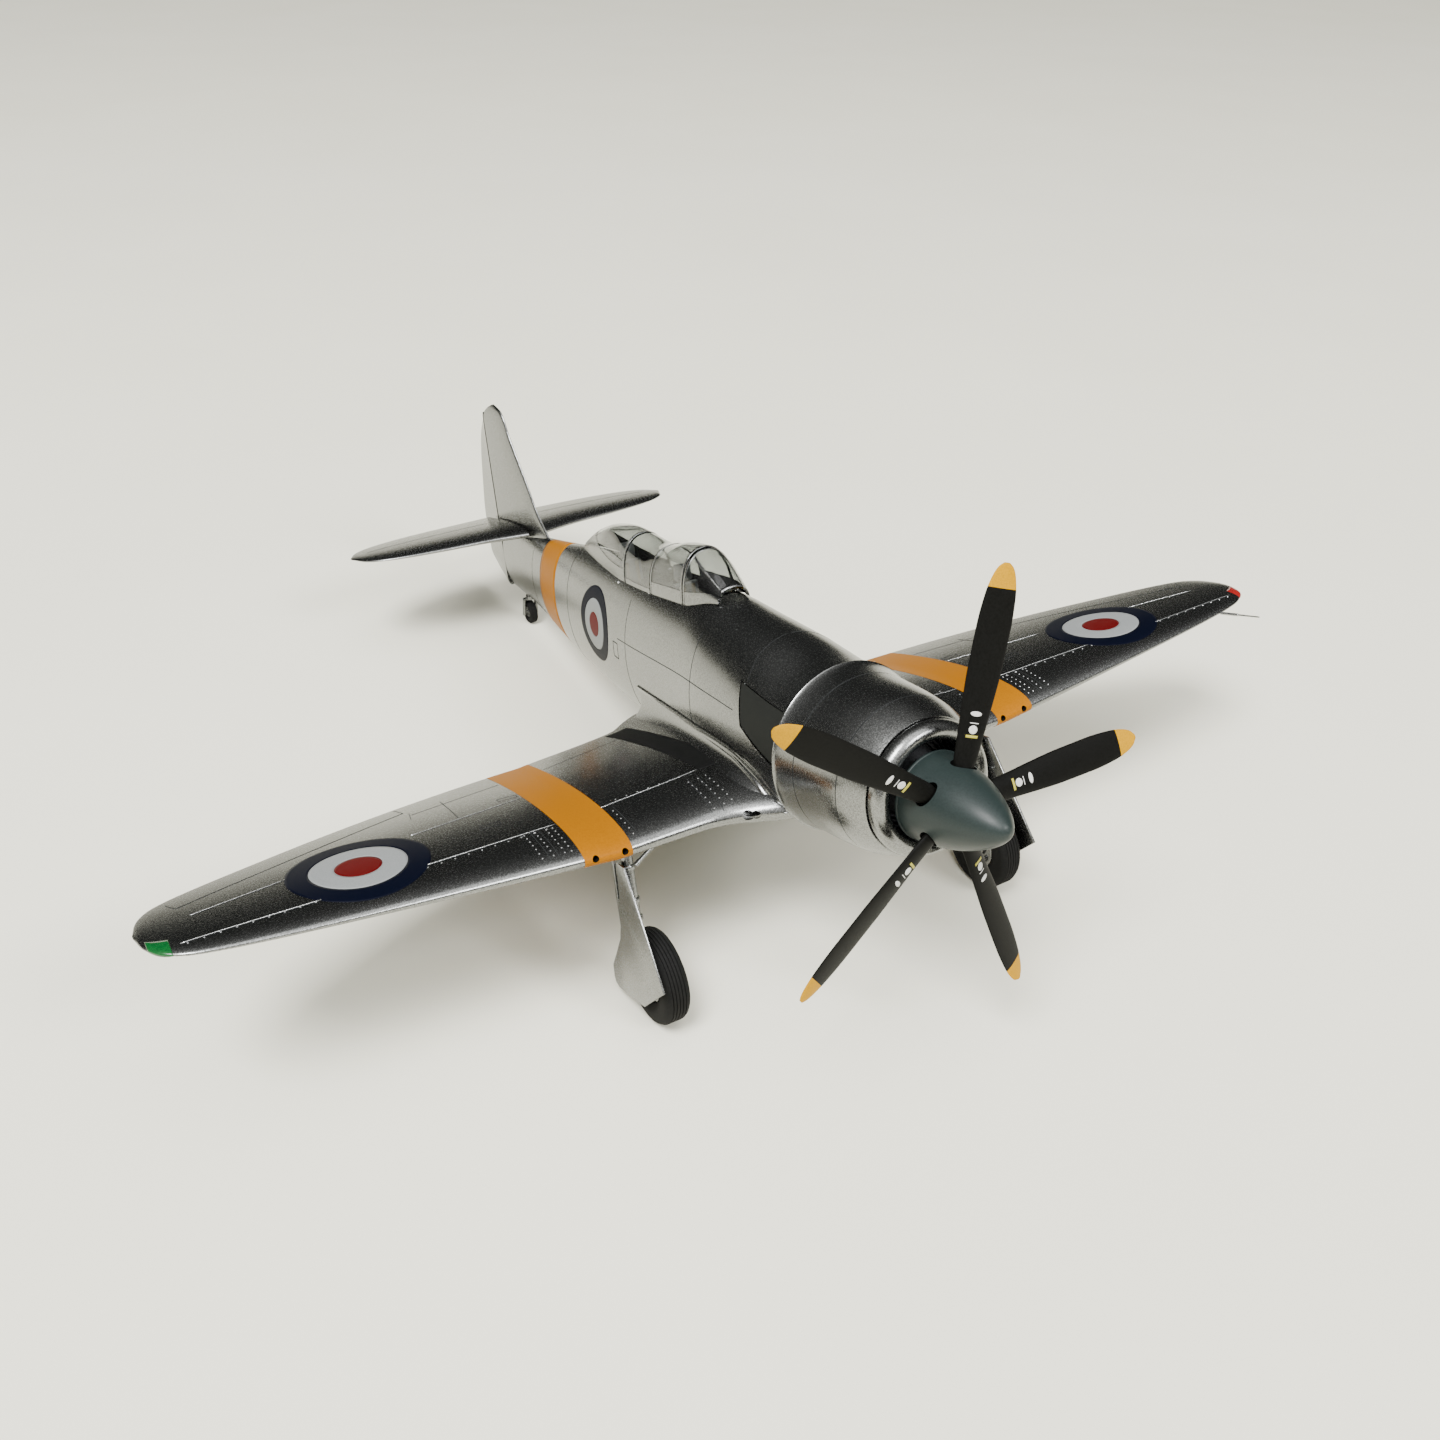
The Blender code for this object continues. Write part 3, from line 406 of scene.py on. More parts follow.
def exhaust_patch(side, grow, depth, height):
    """Return a curved block on the fuselage side, from the cowling back to a slanted edge."""
    def surface(u, w):
        ring = w * 2.0 if w <= 0.5 else 2.0 - w * 2.0
        y = 2.15 - 3.0 * grow + (0.57 + 4.0 * grow) * u
        low = exhaust_low(y) - grow
        turn = low + (EXHAUST_TOP + grow - low) * ring
        y += 0.17 * u * ring
        return hull(y, to_side(side, turn), height if SEAM < w < 0.5 else depth)
    return skin(surface, 24, 49)


recesses = []
for side in (1.0, -1.0):
    recess = exhaust_patch(side, RECESS_GAP, -RECESS_DEPTH, 1.0 * MM)
    recesses.append(piece("recess", recess, [silver]))
canopy_half = smooth_curve((3.84, 0.17), (4.35, 0.30), (5.0, 0.305), (5.7, 0.285), (6.3, 0.225),
                           (6.8, 0.15), (7.2, 0.07))
WELL_FRONT = 3.98
WELL_LONG = 2.57
WELL_HALF = 0.2544
WELL_FLOOR = 0.624
WELL_TOP = 1.44


def cockpit_well(u, w):
    """Return a point of the cockpit cut-out, which keeps inside the hoods all the way along."""
    y = WELL_FRONT + WELL_LONG * u
    half = min(WELL_HALF, canopy_half(y) - 0.04)
    corners = ((half, WELL_FLOOR), (half, WELL_TOP), (-half, WELL_TOP), (-half, WELL_FLOOR))
    x, z = corners[round(4.0 * w) % 4]
    return at(x, y, z)


opening = piece("opening", skin(cockpit_well, 24, 4), [silver])
settle(fuselage, opening, *recesses)
for side, label in ((1.0, "left"), (-1.0, "right")):
    piece("exhaust_panel_skin_" + label, exhaust_patch(side, 0.0, -0.5 * MM, -0.06 * MM), [exhaust_black],
          "airframe", "exhaust_black", "exhaust_panel_" + label)

# ---------------------------------------------------------------- wings
# Each wing is an upper and a lower moulding, glued along the edges and sprayed silver. The
# section is a thin aerofoil with a little twist, and the outer panel rises towards the tip.
# Two gun ports are drilled in each leading edge, and an intake is cut at each root.
wing_leading = smooth_curve((0.2, 2.02), (0.6, 2.15), (1.12, 2.40), (1.3, 2.43), (2.4, 2.45),
                            (4.6, 2.51), (5.2, 2.55), (5.5, 2.60), (5.7, 2.71), (5.81, 2.88),
                            (5.85, 3.08))
wing_trailing = smooth_curve((0.2, 5.40), (0.5, 5.34), (0.75, 5.20), (0.95, 5.05), (1.3, 4.97),
                             (2.0, 4.86), (2.4, 4.77), (3.3, 4.51), (4.1, 4.23), (4.9, 3.90),
                             (5.24, 3.75), (5.54, 3.60), (5.66, 3.52), (5.75, 3.42), (5.81, 3.30),
                             (5.85, 3.12))
wing_thickness = smooth_curve((0.2, 0.150), (2.1, 0.138), (4.0, 0.115), (5.85, 0.09))
WING_Z = -0.42
HALF_SPAN = 5.85
BEND = 2.1
RISE = 0.094
EDGE = 0.0058
CLOSE = 0.9999
WING_ROOT = 0.36
GUN_STATIONS = (2.07, 2.34)
GUN_RADIUS = 0.62 * MM
INTAKES = ((0.865, 0.75 * MM), (0.925, 0.95 * MM))


def aerofoil(u):
    """Return the half thickness of a standard four-digit section for a unit chord."""
    return 5.0 * (0.2969 * math.sqrt(u) - 0.126 * u - 0.3516 * u * u + 0.2843 * u ** 3
                  - 0.1015 * u ** 4)


def chord_share(s):
    """Return the share of the chord at s, with its stations closer at the edges."""
    return 0.5 * (1.0 - math.cos(math.pi * min(abs(s), 1.0)))


def wing_plane(x, u):
    """Return the height of the chord plane at a span station and chord share."""
    return WING_Z + RISE * max(0.0, x - BEND) - 0.06 * (1.0 - x / HALF_SPAN) * u


def wing_point(x, s):
    """Return (y, z) of the skin: s runs from the leading edge over the top to 1, below to -1."""
    lead = wing_leading(x)
    chord = wing_trailing(x) - lead
    u = chord_share(s)
    thick = wing_thickness(x)
    side = 1.0 if s >= 0.0 else -1.0
    half = thick * aerofoil(u) * chord + EDGE * u if abs(s) < CLOSE else 0.0
    camber = 0.07 * thick * chord * 4.0 * u * (1.0 - u)
    return lead + chord * u, wing_plane(x, u) + side * half + camber


def wing(side, x, s, lift=0.0):
    """Return a skin point of one wing, raised by lift square to the section."""
    step = 0.004
    y, z = wing_point(x, s)
    y0, z0 = wing_point(x, max(s - step, -1.0))
    y1, z1 = wing_point(x, min(s + step, 1.0))
    long = math.hypot(y1 - y0, z1 - z0)
    out = lift / SCALE / long
    return at(side * x, y - (z1 - z0) * out, z + (y1 - y0) * out)


def share_at(x, y, top=True):
    """Return the s of the upper or lower skin at a station behind the leading edge."""
    lead = wing_leading(x)
    u = (y - lead) / (wing_trailing(x) - lead)
    s = math.acos(1.0 - 2.0 * min(max(u, 0.0), 1.0)) / math.pi
    return s if top else -s


def wing_top(side, x, y, lift=0.0):
    return wing(side, x, share_at(x, y), lift)


def body_plug():
    """Return a solid of the fuselage, grown by a hair, that trims what meets it."""
    def surface(u, w):
        return hull(2.0 + 7.97 * u, 2.0 * math.pi * w, 0.05 * MM)
    return piece("plug", skin(surface, 60, 64), [silver])


def bore(start, end, radius):
    """Return a round cutter between two points; its wall is painted black, as shade inside the hole."""
    bm = rod(start, end, radius, 24)
    for face in bm.faces:
        face.material_index = 1
    return piece("bore", bm, [silver, black])


def gun_ports(side):
    """Return the two cutters for the ports in a wing's leading edge."""
    made = []
    for x in GUN_STATIONS:
        y, z = wing_point(x, 0.0)
        front = at(side * x, y - 0.10, z + 0.012)
        made.append(bore(front, at(side * x, y + 0.10, z + 0.012), GUN_RADIUS))
    return made


def rod(start, end, radius, sides=16, tip=None):
    """Return a cylinder or a taper between two points."""
    along = end - start
    bm = bmesh.new()
    bmesh.ops.create_cone(bm, cap_ends=True, segments=sides, radius1=radius,
                          radius2=radius if tip is None else tip, depth=along.length)
    turn = along.to_track_quat("Z", "Y").to_matrix().to_4x4()
    bmesh.ops.transform(bm, verts=bm.verts, matrix=Matrix.Translation((start + end) / 2.0) @ turn)
    return bm


for side, label in ((1.0, "left"), (-1.0, "right")):
    def wing_shell(u, w):
        x = WING_ROOT + (HALF_SPAN - WING_ROOT) * math.sin(0.5 * math.pi * u) ** 0.92
        return wing(side, min(x, HALF_SPAN), 1.0 - 2.0 * w)
    made = piece("wing_skin_" + label, skin(wing_shell, 110, 96), [silver, black], "airframe",
                 "silver_paint", "wing_upper_" + label, "wing_lower_" + label)
    # The gun ports and intakes are cut with black walls: painted shade inside the holes.
    holes = [body_plug()] + gun_ports(side)
    for x, radius in INTAKES:
        y, z = wing_point(x, 0.0)
        front = at(side * x, y - 0.14, z + 0.01)
        holes.append(bore(front, at(side * x, y + 0.12, z + 0.01), radius))
    settle(made, *holes)

# ---------------------------------------------------------------- wing root fairings
# Thin fillets that blend the wings' upper skins into the fuselage sides, from the cowling to
# the trailing edge, where they end square. Two raised ribs sweep back from the front corner.
fairing_edge = smooth_curve((2.13, 0.60), (2.22, 0.735), (2.40, 1.02), (2.62, 1.02), (3.1, 0.93),
                            (3.8, 0.84), (4.6, 0.80), (5.1, 0.79), (5.20, 0.77))
fairing_top = smooth_curve((2.13, -0.27), (2.5, -0.06), (3.0, -0.03), (3.84, -0.07), (4.6, -0.09),
                           (5.20, -0.10))
FAIRING_FRONT = 2.13
FAIRING_LONG = 3.07
FAIRING_WALL = 0.35 * MM
RIB_HEIGHT = 0.30
RIB_WIDTH = 0.040
RIBS = ((0.40, 0.80, 2.0), (0.70, 0.985, 0.0))


def side_turn(y, z):
    """Return the turn at which the fuselage skin has a given height."""
    waist = body_waist(y)
    tall = body_top(y) - waist if z >= waist else waist - body_bottom(y)
    return math.asin(max(-1.0, min(1.0, (z - waist) / tall)))


def fairing(side, y, t, lift=0.0):
    """Return a point of the fillet: t runs from the wing at 0 to the fuselage at 1."""
    edge = fairing_edge(y)
    s = share_at(edge, max(y, wing_leading(edge)))
    _, z_wing = wing_point(edge, s)
    z_body = fairing_top(y)
    turn = side_turn(y, z_body)
    x_body = body_half(y) * math.cos(turn)
    low_turn = side_turn(y, z_wing)
    x_corner = max(body_half(y) * math.cos(low_turn), 0.2) + 0.02
    a, b, c = (1.0 - t) ** 2, 2.0 * t * (1.0 - t), t * t
    x = a * edge + b * x_corner + c * x_body
    z = a * z_wing + b * z_wing + c * z_body
    swell = lift / SCALE
    lean = math.radians(20.0 + 60.0 * t)
    return at(side * (x + swell * math.sin(lean)), y, z + swell * math.cos(lean))


for side, label in ((1.0, "left"), (-1.0, "right")):
    def fillet(u, w):
        y = FAIRING_FRONT + FAIRING_LONG * u
        if SEAM < w <= 0.5:
            rib = 0.0
            for start, end, fade in RIBS:
                middle = start + (end - start) * min(1.0, u * 4.0) ** 0.6
                rib += math.exp(-((2.0 * w - middle) / RIB_WIDTH) ** 2) * max(0.0, 1.0 - u * fade)
            return fairing(side, y, 2.0 * w, (0.05 + RIB_HEIGHT * rib) * MM)
        return fairing(side, y, 2.0 - 2.0 * w if w > 0.5 else 0.0, -FAIRING_WALL)
    silver_piece("wing_root_fairing_" + label, skin(fillet, 120, 97), crease=50.0)

# ---------------------------------------------------------------- wing and body markings
# Waterslide transfers: three-ring roundels, yellow identity bands and black walkways. They
# are hair-thin films with real edges, bent to the skin below and closed on all sides.
LIFT = 0.03 * MM


def lay(bm, surface, across, along, index=0):
    """Add one film to a bmesh over surface(u, w, lift), its top facing away from the skin."""
    made = bmesh.ops.create_grid(bm, x_segments=across, y_segments=along, size=0.5)
    verts = made["verts"]
    faces = list({face for vertex in verts for face in vertex.link_faces})
    for vertex in verts:
        vertex.co = surface(vertex.co.x + 0.5, vertex.co.y + 0.5, LIFT)
    middle = surface(0.5, 0.5, LIFT)
    out = surface(0.5, 0.5, LIFT + MM) - middle
    for face in faces:
        face.material_index = index
        face.normal_update()
    nearest = min(faces, key=lambda face: (face.calc_center_median() - middle).length)
    if nearest.normal.dot(out) < 0.0:
        bmesh.ops.reverse_faces(bm, faces=faces)
    bmesh.ops.remove_doubles(bm, verts=verts, dist=1e-7)


def film_piece(name, bm, finishes, slot="silver_paint", body="airframe", thickness=0.05):
    """Finish films as one closed piece: their backs sink just below the skin."""
    made = piece(name, bm, finishes, body, slot)
    back = made.modifiers.new("back", "SOLIDIFY")
    back.thickness = thickness * MM
    back.offset = -1.0
    return made


ROUNDEL_RINGS = ((0.68, 1.0, 0), (0.33, 0.68, 1), (0.0, 0.33, 2))


def roundel(name, centre_point, radius):
    """Lay a roundel of navy, white and red rings; centre_point(a, b, lift) is the local map."""
    bm = bmesh.new()
    for inner, outer, index in ROUNDEL_RINGS:
        def ring(u, w, lift):
            turn = 2.0 * math.pi * w
            reach = radius * (inner + (outer - inner) * u)
            return centre_point(reach * math.cos(turn), reach * math.sin(turn), lift)
        lay(bm, ring, 8, 96, index)
    film_piece(name, bm, [navy, white, red])


WING_ROUNDEL = (4.10, 3.20)
WING_ROUNDEL_RADIUS = 0.585
BODY_ROUNDEL = (6.30, 0.30)
BODY_ROUNDEL_RADIUS = 0.42
WING_BAND = (2.0, 2.44)
WALKWAY = (3.06, 4.94)
TAIL_BAND = 7.67
TAIL_BAND_WIDTH = 0.60
for side, label in ((1.0, "left"), (-1.0, "right")):
    def wing_disc(a, b, lift):
        """Map a flat disc to the wing's upper skin round the roundel's centre."""
        return wing_top(side, WING_ROUNDEL[0] + a, WING_ROUNDEL[1] + b, lift)
    roundel("wing_roundel_" + label, wing_disc, WING_ROUNDEL_RADIUS)

    def body_side(a, b, lift):
        """Map a flat disc to the fuselage side round the roundel's centre."""
        y = BODY_ROUNDEL[0] + a
        turn = side_turn(y, BODY_ROUNDEL[1] + b)
        return hull(y, to_side(side, turn), lift)
    roundel("body_roundel_" + label, body_side, BODY_ROUNDEL_RADIUS)

    bm = bmesh.new()

    def band(u, w, lift):
        """Map the wing band, from the upper trailing edge round the nose to the lower one."""
        s = 1.0 - 2.0 * w
        outer = WING_BAND[1]
        inner = WING_BAND[0] - 0.03 * abs(s)
        return wing(side, inner + (outer - inner) * u, s * 0.995, lift)
    lay(bm, band, 10, 120)
    # The band's gun ports get the same black walls, painted shade inside the holes.
    settle(film_piece("wing_band_" + label, bm, [yellow, black]), *gun_ports(side))

    bm = bmesh.new()

    def walkway(u, w, lift):
        """Map the black walkway beside the root fairing."""
        y = WALKWAY[0] + (WALKWAY[1] - WALKWAY[0]) * w
        inner = 0.70 + 0.13 * w
        outer = 0.97 + 0.10 * w
        x = inner + (outer - inner) * u
        return wing_top(side, x, y + 0.03 * (u - 0.5) * (1.0 - w), lift + LIFT)
    lay(bm, walkway, 8, 40)
    film_piece("walkway_" + label, bm, [black], "exhaust_black")

bm = bmesh.new()


def tail_band(u, w, lift):
    """Map the yellow band round the rear fuselage."""
    return hull(TAIL_BAND + TAIL_BAND_WIDTH * u, 2.0 * math.pi * w, lift)


lay(bm, tail_band, 8, 96)
film_piece("tail_band", bm, [yellow])

# ---------------------------------------------------------------- tail surfaces
# Moulded fin, rudder and two tailplanes, sprayed silver like the rest. The fin and the rudder
# share one section, and the tailplanes pass through the top of the rear fuselage.
tail_leading = smooth_curve((0.05, 8.80), (0.6, 8.96), (1.2, 9.04), (1.75, 9.16), (2.05, 9.34),
                            (2.17, 9.60))
tail_trailing = smooth_curve((0.05, 10.24), (1.2, 10.16), (1.75, 10.04), (2.05, 9.86), (2.17, 9.64))
fin_leading = smooth_curve((0.55, 8.20), (0.85, 8.43), (1.11, 8.68), (1.44, 8.88), (1.99, 9.24),
                           (2.28, 9.40), (2.36, 9.60))
fin_back = smooth_curve((2.20, 9.928), (2.27, 9.86), (2.33, 9.74), (2.36, 9.64))
rudder_trailing = smooth_curve((-0.10, 10.04), (-0.02, 10.22), (0.10, 10.42), (0.30, 10.62),
                               (0.69, 10.62), (1.36, 10.47), (1.75, 10.34), (1.95, 10.24),
                               (2.11, 10.11), (2.22, 10.00))
HINGE = 9.95
TAIL_Z = 0.81
TAIL_ROOT = 0.10
TAIL_TIP = 2.17
FIN_FOOT = 0.60
FIN_TOP = 2.358
RUDDER_FOOT = -0.088
RUDDER_TOP = 2.238


def tailplane(side, x, s, lift=0.0):
    """Return a skin point of one tailplane, s as on the wing."""
    lead = tail_leading(x)
    chord = tail_trailing(x) - lead
    u = chord_share(s)
    half = (0.10 - 0.02 * x / TAIL_TIP) * aerofoil(u) * chord + 0.007 * u if abs(s) < CLOSE else 0.0
    return at(side * x, lead + chord * u, TAIL_Z + (half + lift / SCALE) * (1.0 if s >= 0.0 else -1.0))


for side, label in ((1.0, "left"), (-1.0, "right")):
    def tail_shell(u, w):
        x = TAIL_ROOT + 2.069 * math.sin(0.5 * math.pi * u) ** 0.92
        return tailplane(side, x, 1.0 - 2.0 * w)
    made = silver_piece("tailplane_skin_" + label, skin(tail_shell, 60, 72), "tailplane_" + label)
    settle(made, body_plug())


def fin_half(y, z):
    """Return the half thickness of the fin and rudder section at a station and height."""
    lead = fin_leading(z) if z > 0.55 else 8.2
    u = max(0.0, (y - lead) / (HINGE - lead))
    nose_round = min(1.0, 1.9 * math.sqrt(u) * (1.0 - 0.48 * math.sqrt(u)))
    half = (0.075 - 0.025 * max(0.0, z - 0.6) / 1.76) * nose_round
    if y > HINGE:
        back = (y - HINGE) / (rudder_trailing(z) - HINGE)
        half *= 1.0 - back * 0.9
    cap = max(0.0, (z - 2.16) / 0.20)
    foot = max(0.0, (0.0 - z) / 0.10)
    return half * math.sqrt(max(0.04, 1.0 - min(1.0, max(cap, foot)) ** 2))


def two_sided(front, back, low, high, steps, rows):
    """Return a thin closed fin between two edge curves of height, wrapped from edge to edge."""
    def surface(u, w):
        z = low + (high - low) * (0.5 - 0.5 * math.cos(math.pi * u))
        side = 1.0 if w <= 0.5 else -1.0
        share = 0.5 - 0.5 * math.cos(2.0 * math.pi * w)
        y = front(z) + (back(z) - front(z)) * share
        wide = fin_half(y, z) if SEAM < w < 1.0 - SEAM else 0.0
        return at(side * wide, y, z)
    return skin(surface, steps, rows)


fin = silver_piece("fin_skin", two_sided(fin_leading, fin_back, FIN_FOOT, FIN_TOP, 70, 48), "fin")
settle(fin, body_plug())
rudder = two_sided(lambda z: HINGE + 0.006, rudder_trailing, RUDDER_FOOT, RUDDER_TOP, 60, 48)
silver_piece("rudder_skin", rudder, "rudder")

# ---------------------------------------------------------------- cowling
# A round tapering moulding with two engraved joint lines and a proud rear edge, and a rolled
# front lip ring set just inside it. The radial engine's finned cylinders sit behind the gap.
cowl_radius = smooth_curve((0.86, 0.47), (0.90, 0.525), (0.99, 0.587), (1.12, 0.643), (1.28, 0.690),
                           (1.50, 0.717), (1.84, 0.735), (2.02, 0.755), (2.097, 0.777))
COWL_Z = 0.04
COWL_WALL = 1.1 * MM
COWL_GROOVES = (1.282, 1.84)
CYLINDERS = 9
cowl_centre = at(0.0, 0.0, COWL_Z)


def turned(profile, steps, centre, axis, side):
    """Spin a closed outline of (along, out) points, in metres, round an axis through centre."""
    bm = bmesh.new()
    dots = [bm.verts.new(centre + axis * a + side * out) for a, out in profile]
    edges = [bm.edges.new(pair) for pair in zip(dots, dots[1:] + dots[:1])]
    bmesh.ops.spin(bm, geom=dots + edges, cent=centre, axis=axis, dvec=(0.0, 0.0, 0.0),
                   angle=2.0 * math.pi, steps=steps, use_merge=True)
    bmesh.ops.remove_doubles(bm, verts=bm.verts, dist=1e-7)
    loose = [edge for edge in bm.edges if not edge.link_faces]
    bmesh.ops.delete(bm, geom=loose, context="EDGES")
    bmesh.ops.recalc_face_normals(bm, faces=bm.faces)
    return bm


def groove(y, width, depth):
    """Return the four outline points of an engraved line round the cowling."""
    r = cowl_radius(y)
    return [(y - width, r), (y - 0.4 * width, r - depth), (y + 0.4 * width, r - depth), (y + width, r)]


outline = []
for i in range(33):
    y = 1.005 + (2.085 - 1.005) * i / 32.0
    if min(abs(y - joint) for joint in COWL_GROOVES) > 0.012:
        outline.append((y, cowl_radius(y)))
for joint in COWL_GROOVES:
    outline += groove(joint, 0.006, 0.008)
outline.sort()
outline += [(2.092, 0.7795), (2.102, 0.779), (2.107, 0.772), (2.106, 0.755)]
outer = [(y * SCALE, r * SCALE) for y, r in outline]
inner = [(y * SCALE, cowl_radius(y) * SCALE - COWL_WALL) for y in (2.08, 1.8, 1.5, 1.28, 1.12, 1.005)]
bm = turned(outer + inner, 120, cowl_centre, AFT, UP)
for face in bm.faces:
    reach = face.calc_center_median() - cowl_centre
    y = reach.dot(AFT)
    sunk = cowl_radius(y / SCALE) * SCALE - (reach - AFT * y).length
    if 0.03 * MM < sunk < 0.5 * MM and y < 2.0 * SCALE:
        face.material_index = 1
piece("cowling_skin", bm, [silver, line_grey], "airframe", "silver_paint", "engine_cowling", crease=28.0)
lip = [(0.990 * SCALE, 0.583 * SCALE)]
for k in range(21):
    turn = math.pi * k / 20.0
    lip.append(((0.962 - 0.091 * math.sin(turn)) * SCALE, (0.500 + 0.083 * math.cos(turn)) * SCALE))
lip += [(0.990 * SCALE, 0.417 * SCALE)]
silver_piece("cowl_lip", turned(lip, 120, cowl_centre, AFT, UP), "cowl_front_ring", crease=50.0)


def join(bm, other, index=0):
    """Move another bmesh's faces into this one, with one material index."""
    for face in other.faces:
        face.material_index = index
    part = bpy.data.meshes.new("part")
    other.to_mesh(part)
    other.free()
    bm.from_mesh(part)
    bpy.data.meshes.remove(part)


engine_grey = paint("engine_grey", (0.075, 0.078, 0.085), (0.030, 0.031, 0.034), 3000.0,
                    0.42, 0.15, 0.3, 0.6)
crankcase = ((25.0, 1.6), (24.2, 3.6), (25.0, 6.2), (32.8, 6.2), (32.8, 1.6))
bm = turned([(y * MM, r * MM) for y, r in crankcase], 48, cowl_centre, AFT, UP)
core = 2.6 * MM
fin_rim = 3.6 * MM
for k in range(CYLINDERS):
    turn = math.radians(5.0 + 40.0 * k)
    out = PORT * math.cos(turn) + UP * math.sin(turn)
    fins = [(5.8 * MM, 0.0), (5.8 * MM, core)]
    for j in range(6):
        base = (6.6 + 0.85 * j) * MM
        edge = base + 0.4 * MM
        fins += [(base, core), (base, fin_rim), (edge, fin_rim), (edge, core)]
    fins += [(11.9 * MM, 2.4 * MM), (12.1 * MM, 0.0)]
    join(bm, turned(fins, 20, cowl_centre + AFT * 28.5 * MM, out, AFT))
piece("engine_cylinders", bm, [engine_grey], "airframe", "engine_grey", "radial_engine")

# ---------------------------------------------------------------- spinner
# A turned pointed cap in matt blue-grey, with a fine seam near its rear rim. Five slots let
# the blade roots through.
spinner_radius = smooth_curve((0.0, 0.0), (0.012, 0.045), (0.05, 0.092), (0.15, 0.168), (0.30, 0.245),
                              (0.50, 0.318), (0.70, 0.362), (0.902, 0.387))
spinner_paint = paint("spinner_blue_grey", (0.014, 0.022, 0.021), (0.010, 0.016, 0.015), 3500.0,
                      0.38, 0.08, 0.25)
hub_centre = at(0.0, BLADE_STATION, 0.0)
BLADES = 5
FIRST_BLADE = math.radians(72.4)
blade_chord = smooth_curve((6.2, 3.2), (8.0, 4.0), (12.0, 4.5), (17.0, 5.2), (23.0, 5.8), (30.0, 5.9),
                           (35.0, 5.3), (38.0, 4.1), (39.8, 2.5), (40.5, 0.9))
blade_thickness = smooth_curve((6.2, 2.0), (8.0, 1.7), (12.0, 1.3), (23.0, 0.85), (35.0, 0.6),
                               (40.5, 0.4))
BLADE_ANGLE = math.radians(20.0)


def blade(index, radius, turn, chord, thick, lift=0.0):
    """Return a point of a blade's section; radius, chord and thickness are in millimetres."""
    place = FIRST_BLADE + 2.0 * math.pi * index / BLADES
    out = PORT * math.cos(place) + UP * math.sin(place)
    lead = PORT * math.sin(place) - UP * math.cos(place)
    along = lead * math.cos(BLADE_ANGLE) - AFT * math.sin(BLADE_ANGLE)
    across = AFT * math.cos(BLADE_ANGLE) + lead * math.sin(BLADE_ANGLE)
    wide = 0.5 * chord * MM + lift
    deep = 0.5 * thick * MM + lift
    return hub_centre + out * radius * MM + along * wide * math.cos(turn) + across * deep * math.sin(turn)


def spinner_at(y, inset=0.0):
    return (y * SCALE, max(0.0, spinner_radius(y) * SCALE - inset))


outline = [spinner_at(0.865 * (i / 40.0) ** 1.6) for i in range(41)]
for y, inset in ((0.872, 0.12), (0.880, 0.12), (0.886, 0.0), (0.899, 0.0), (0.902, 0.06), (0.902, 0.9)):
    outline.append(spinner_at(y, inset * MM))
for y in (0.8, 0.63, 0.45, 0.3, 0.18):
    outline.append((y * SCALE + 0.6 * MM, spinner_radius(y) * SCALE - 0.9 * MM))
outline += [(3.2 * MM, 0.0)]
spinner = piece("spinner_cap", turned(outline, 120, nose, AFT, UP), [spinner_paint, black],
                "propeller", "spinner_grey", "spinner")
# The slots are cut with black walls: painted shade in the gaps round the blade roots.
slots = []
for i in range(BLADES):
    def slot_shape(u, w):
        return blade(i, 4.6 + 6.6 * u, 2.0 * math.pi * w, 4.75, 2.9)
    slots.append(piece("slot", skin(slot_shape, 6, 32), [black]))
settle(spinner, *slots)

# ---------------------------------------------------------------- propeller blades
# Five broad blades, satin black with yellow tips, each an oval section set at one angle. Small
# plain marks are printed on the front face near the root: a bar, a disc, a line and an oval.
blade_black = paint("blade_black", (0.0045, 0.0045, 0.004), (0.0025, 0.0025, 0.002), 3000.0,
                    0.42, 0.10, 0.25, gloss=0.06)
tip_yellow = paint("tip_yellow", (0.46, 0.23, 0.0005), (0.36, 0.18, 0.0005), 4000.0,
                   0.38, 0.08, 0.15, gloss=0.06)
mark_yellow = paint("mark_olive", (0.40, 0.36, 0.05), (0.30, 0.27, 0.035), 4000.0, 0.45, 0.08, 0.1)
mark_white = paint("mark_white", (0.60, 0.60, 0.58), (0.50, 0.50, 0.48), 4000.0, 0.45, 0.08, 0.1)
BLADE_START = 6.0
TIP_START = 36.4
BLADE_END = 40.48
TIP_SHARE = 0.75
BARS = ((12.1, 0.45, 0.45, 0), (14.35, 0.14, 0.30, 1))
DISCS = ((13.25, 0.72, 0.72), (15.9, 0.42, 0.95))


def blade_radius(u):
    """Spread the blade's stations, with one exactly where the yellow tip starts."""
    if u <= TIP_SHARE:
        return BLADE_START + (TIP_START - BLADE_START) * u / TIP_SHARE
    past = (u - TIP_SHARE) / (1.0 - TIP_SHARE)
    return TIP_START + (BLADE_END - TIP_START) * math.sin(0.5 * math.pi * past)


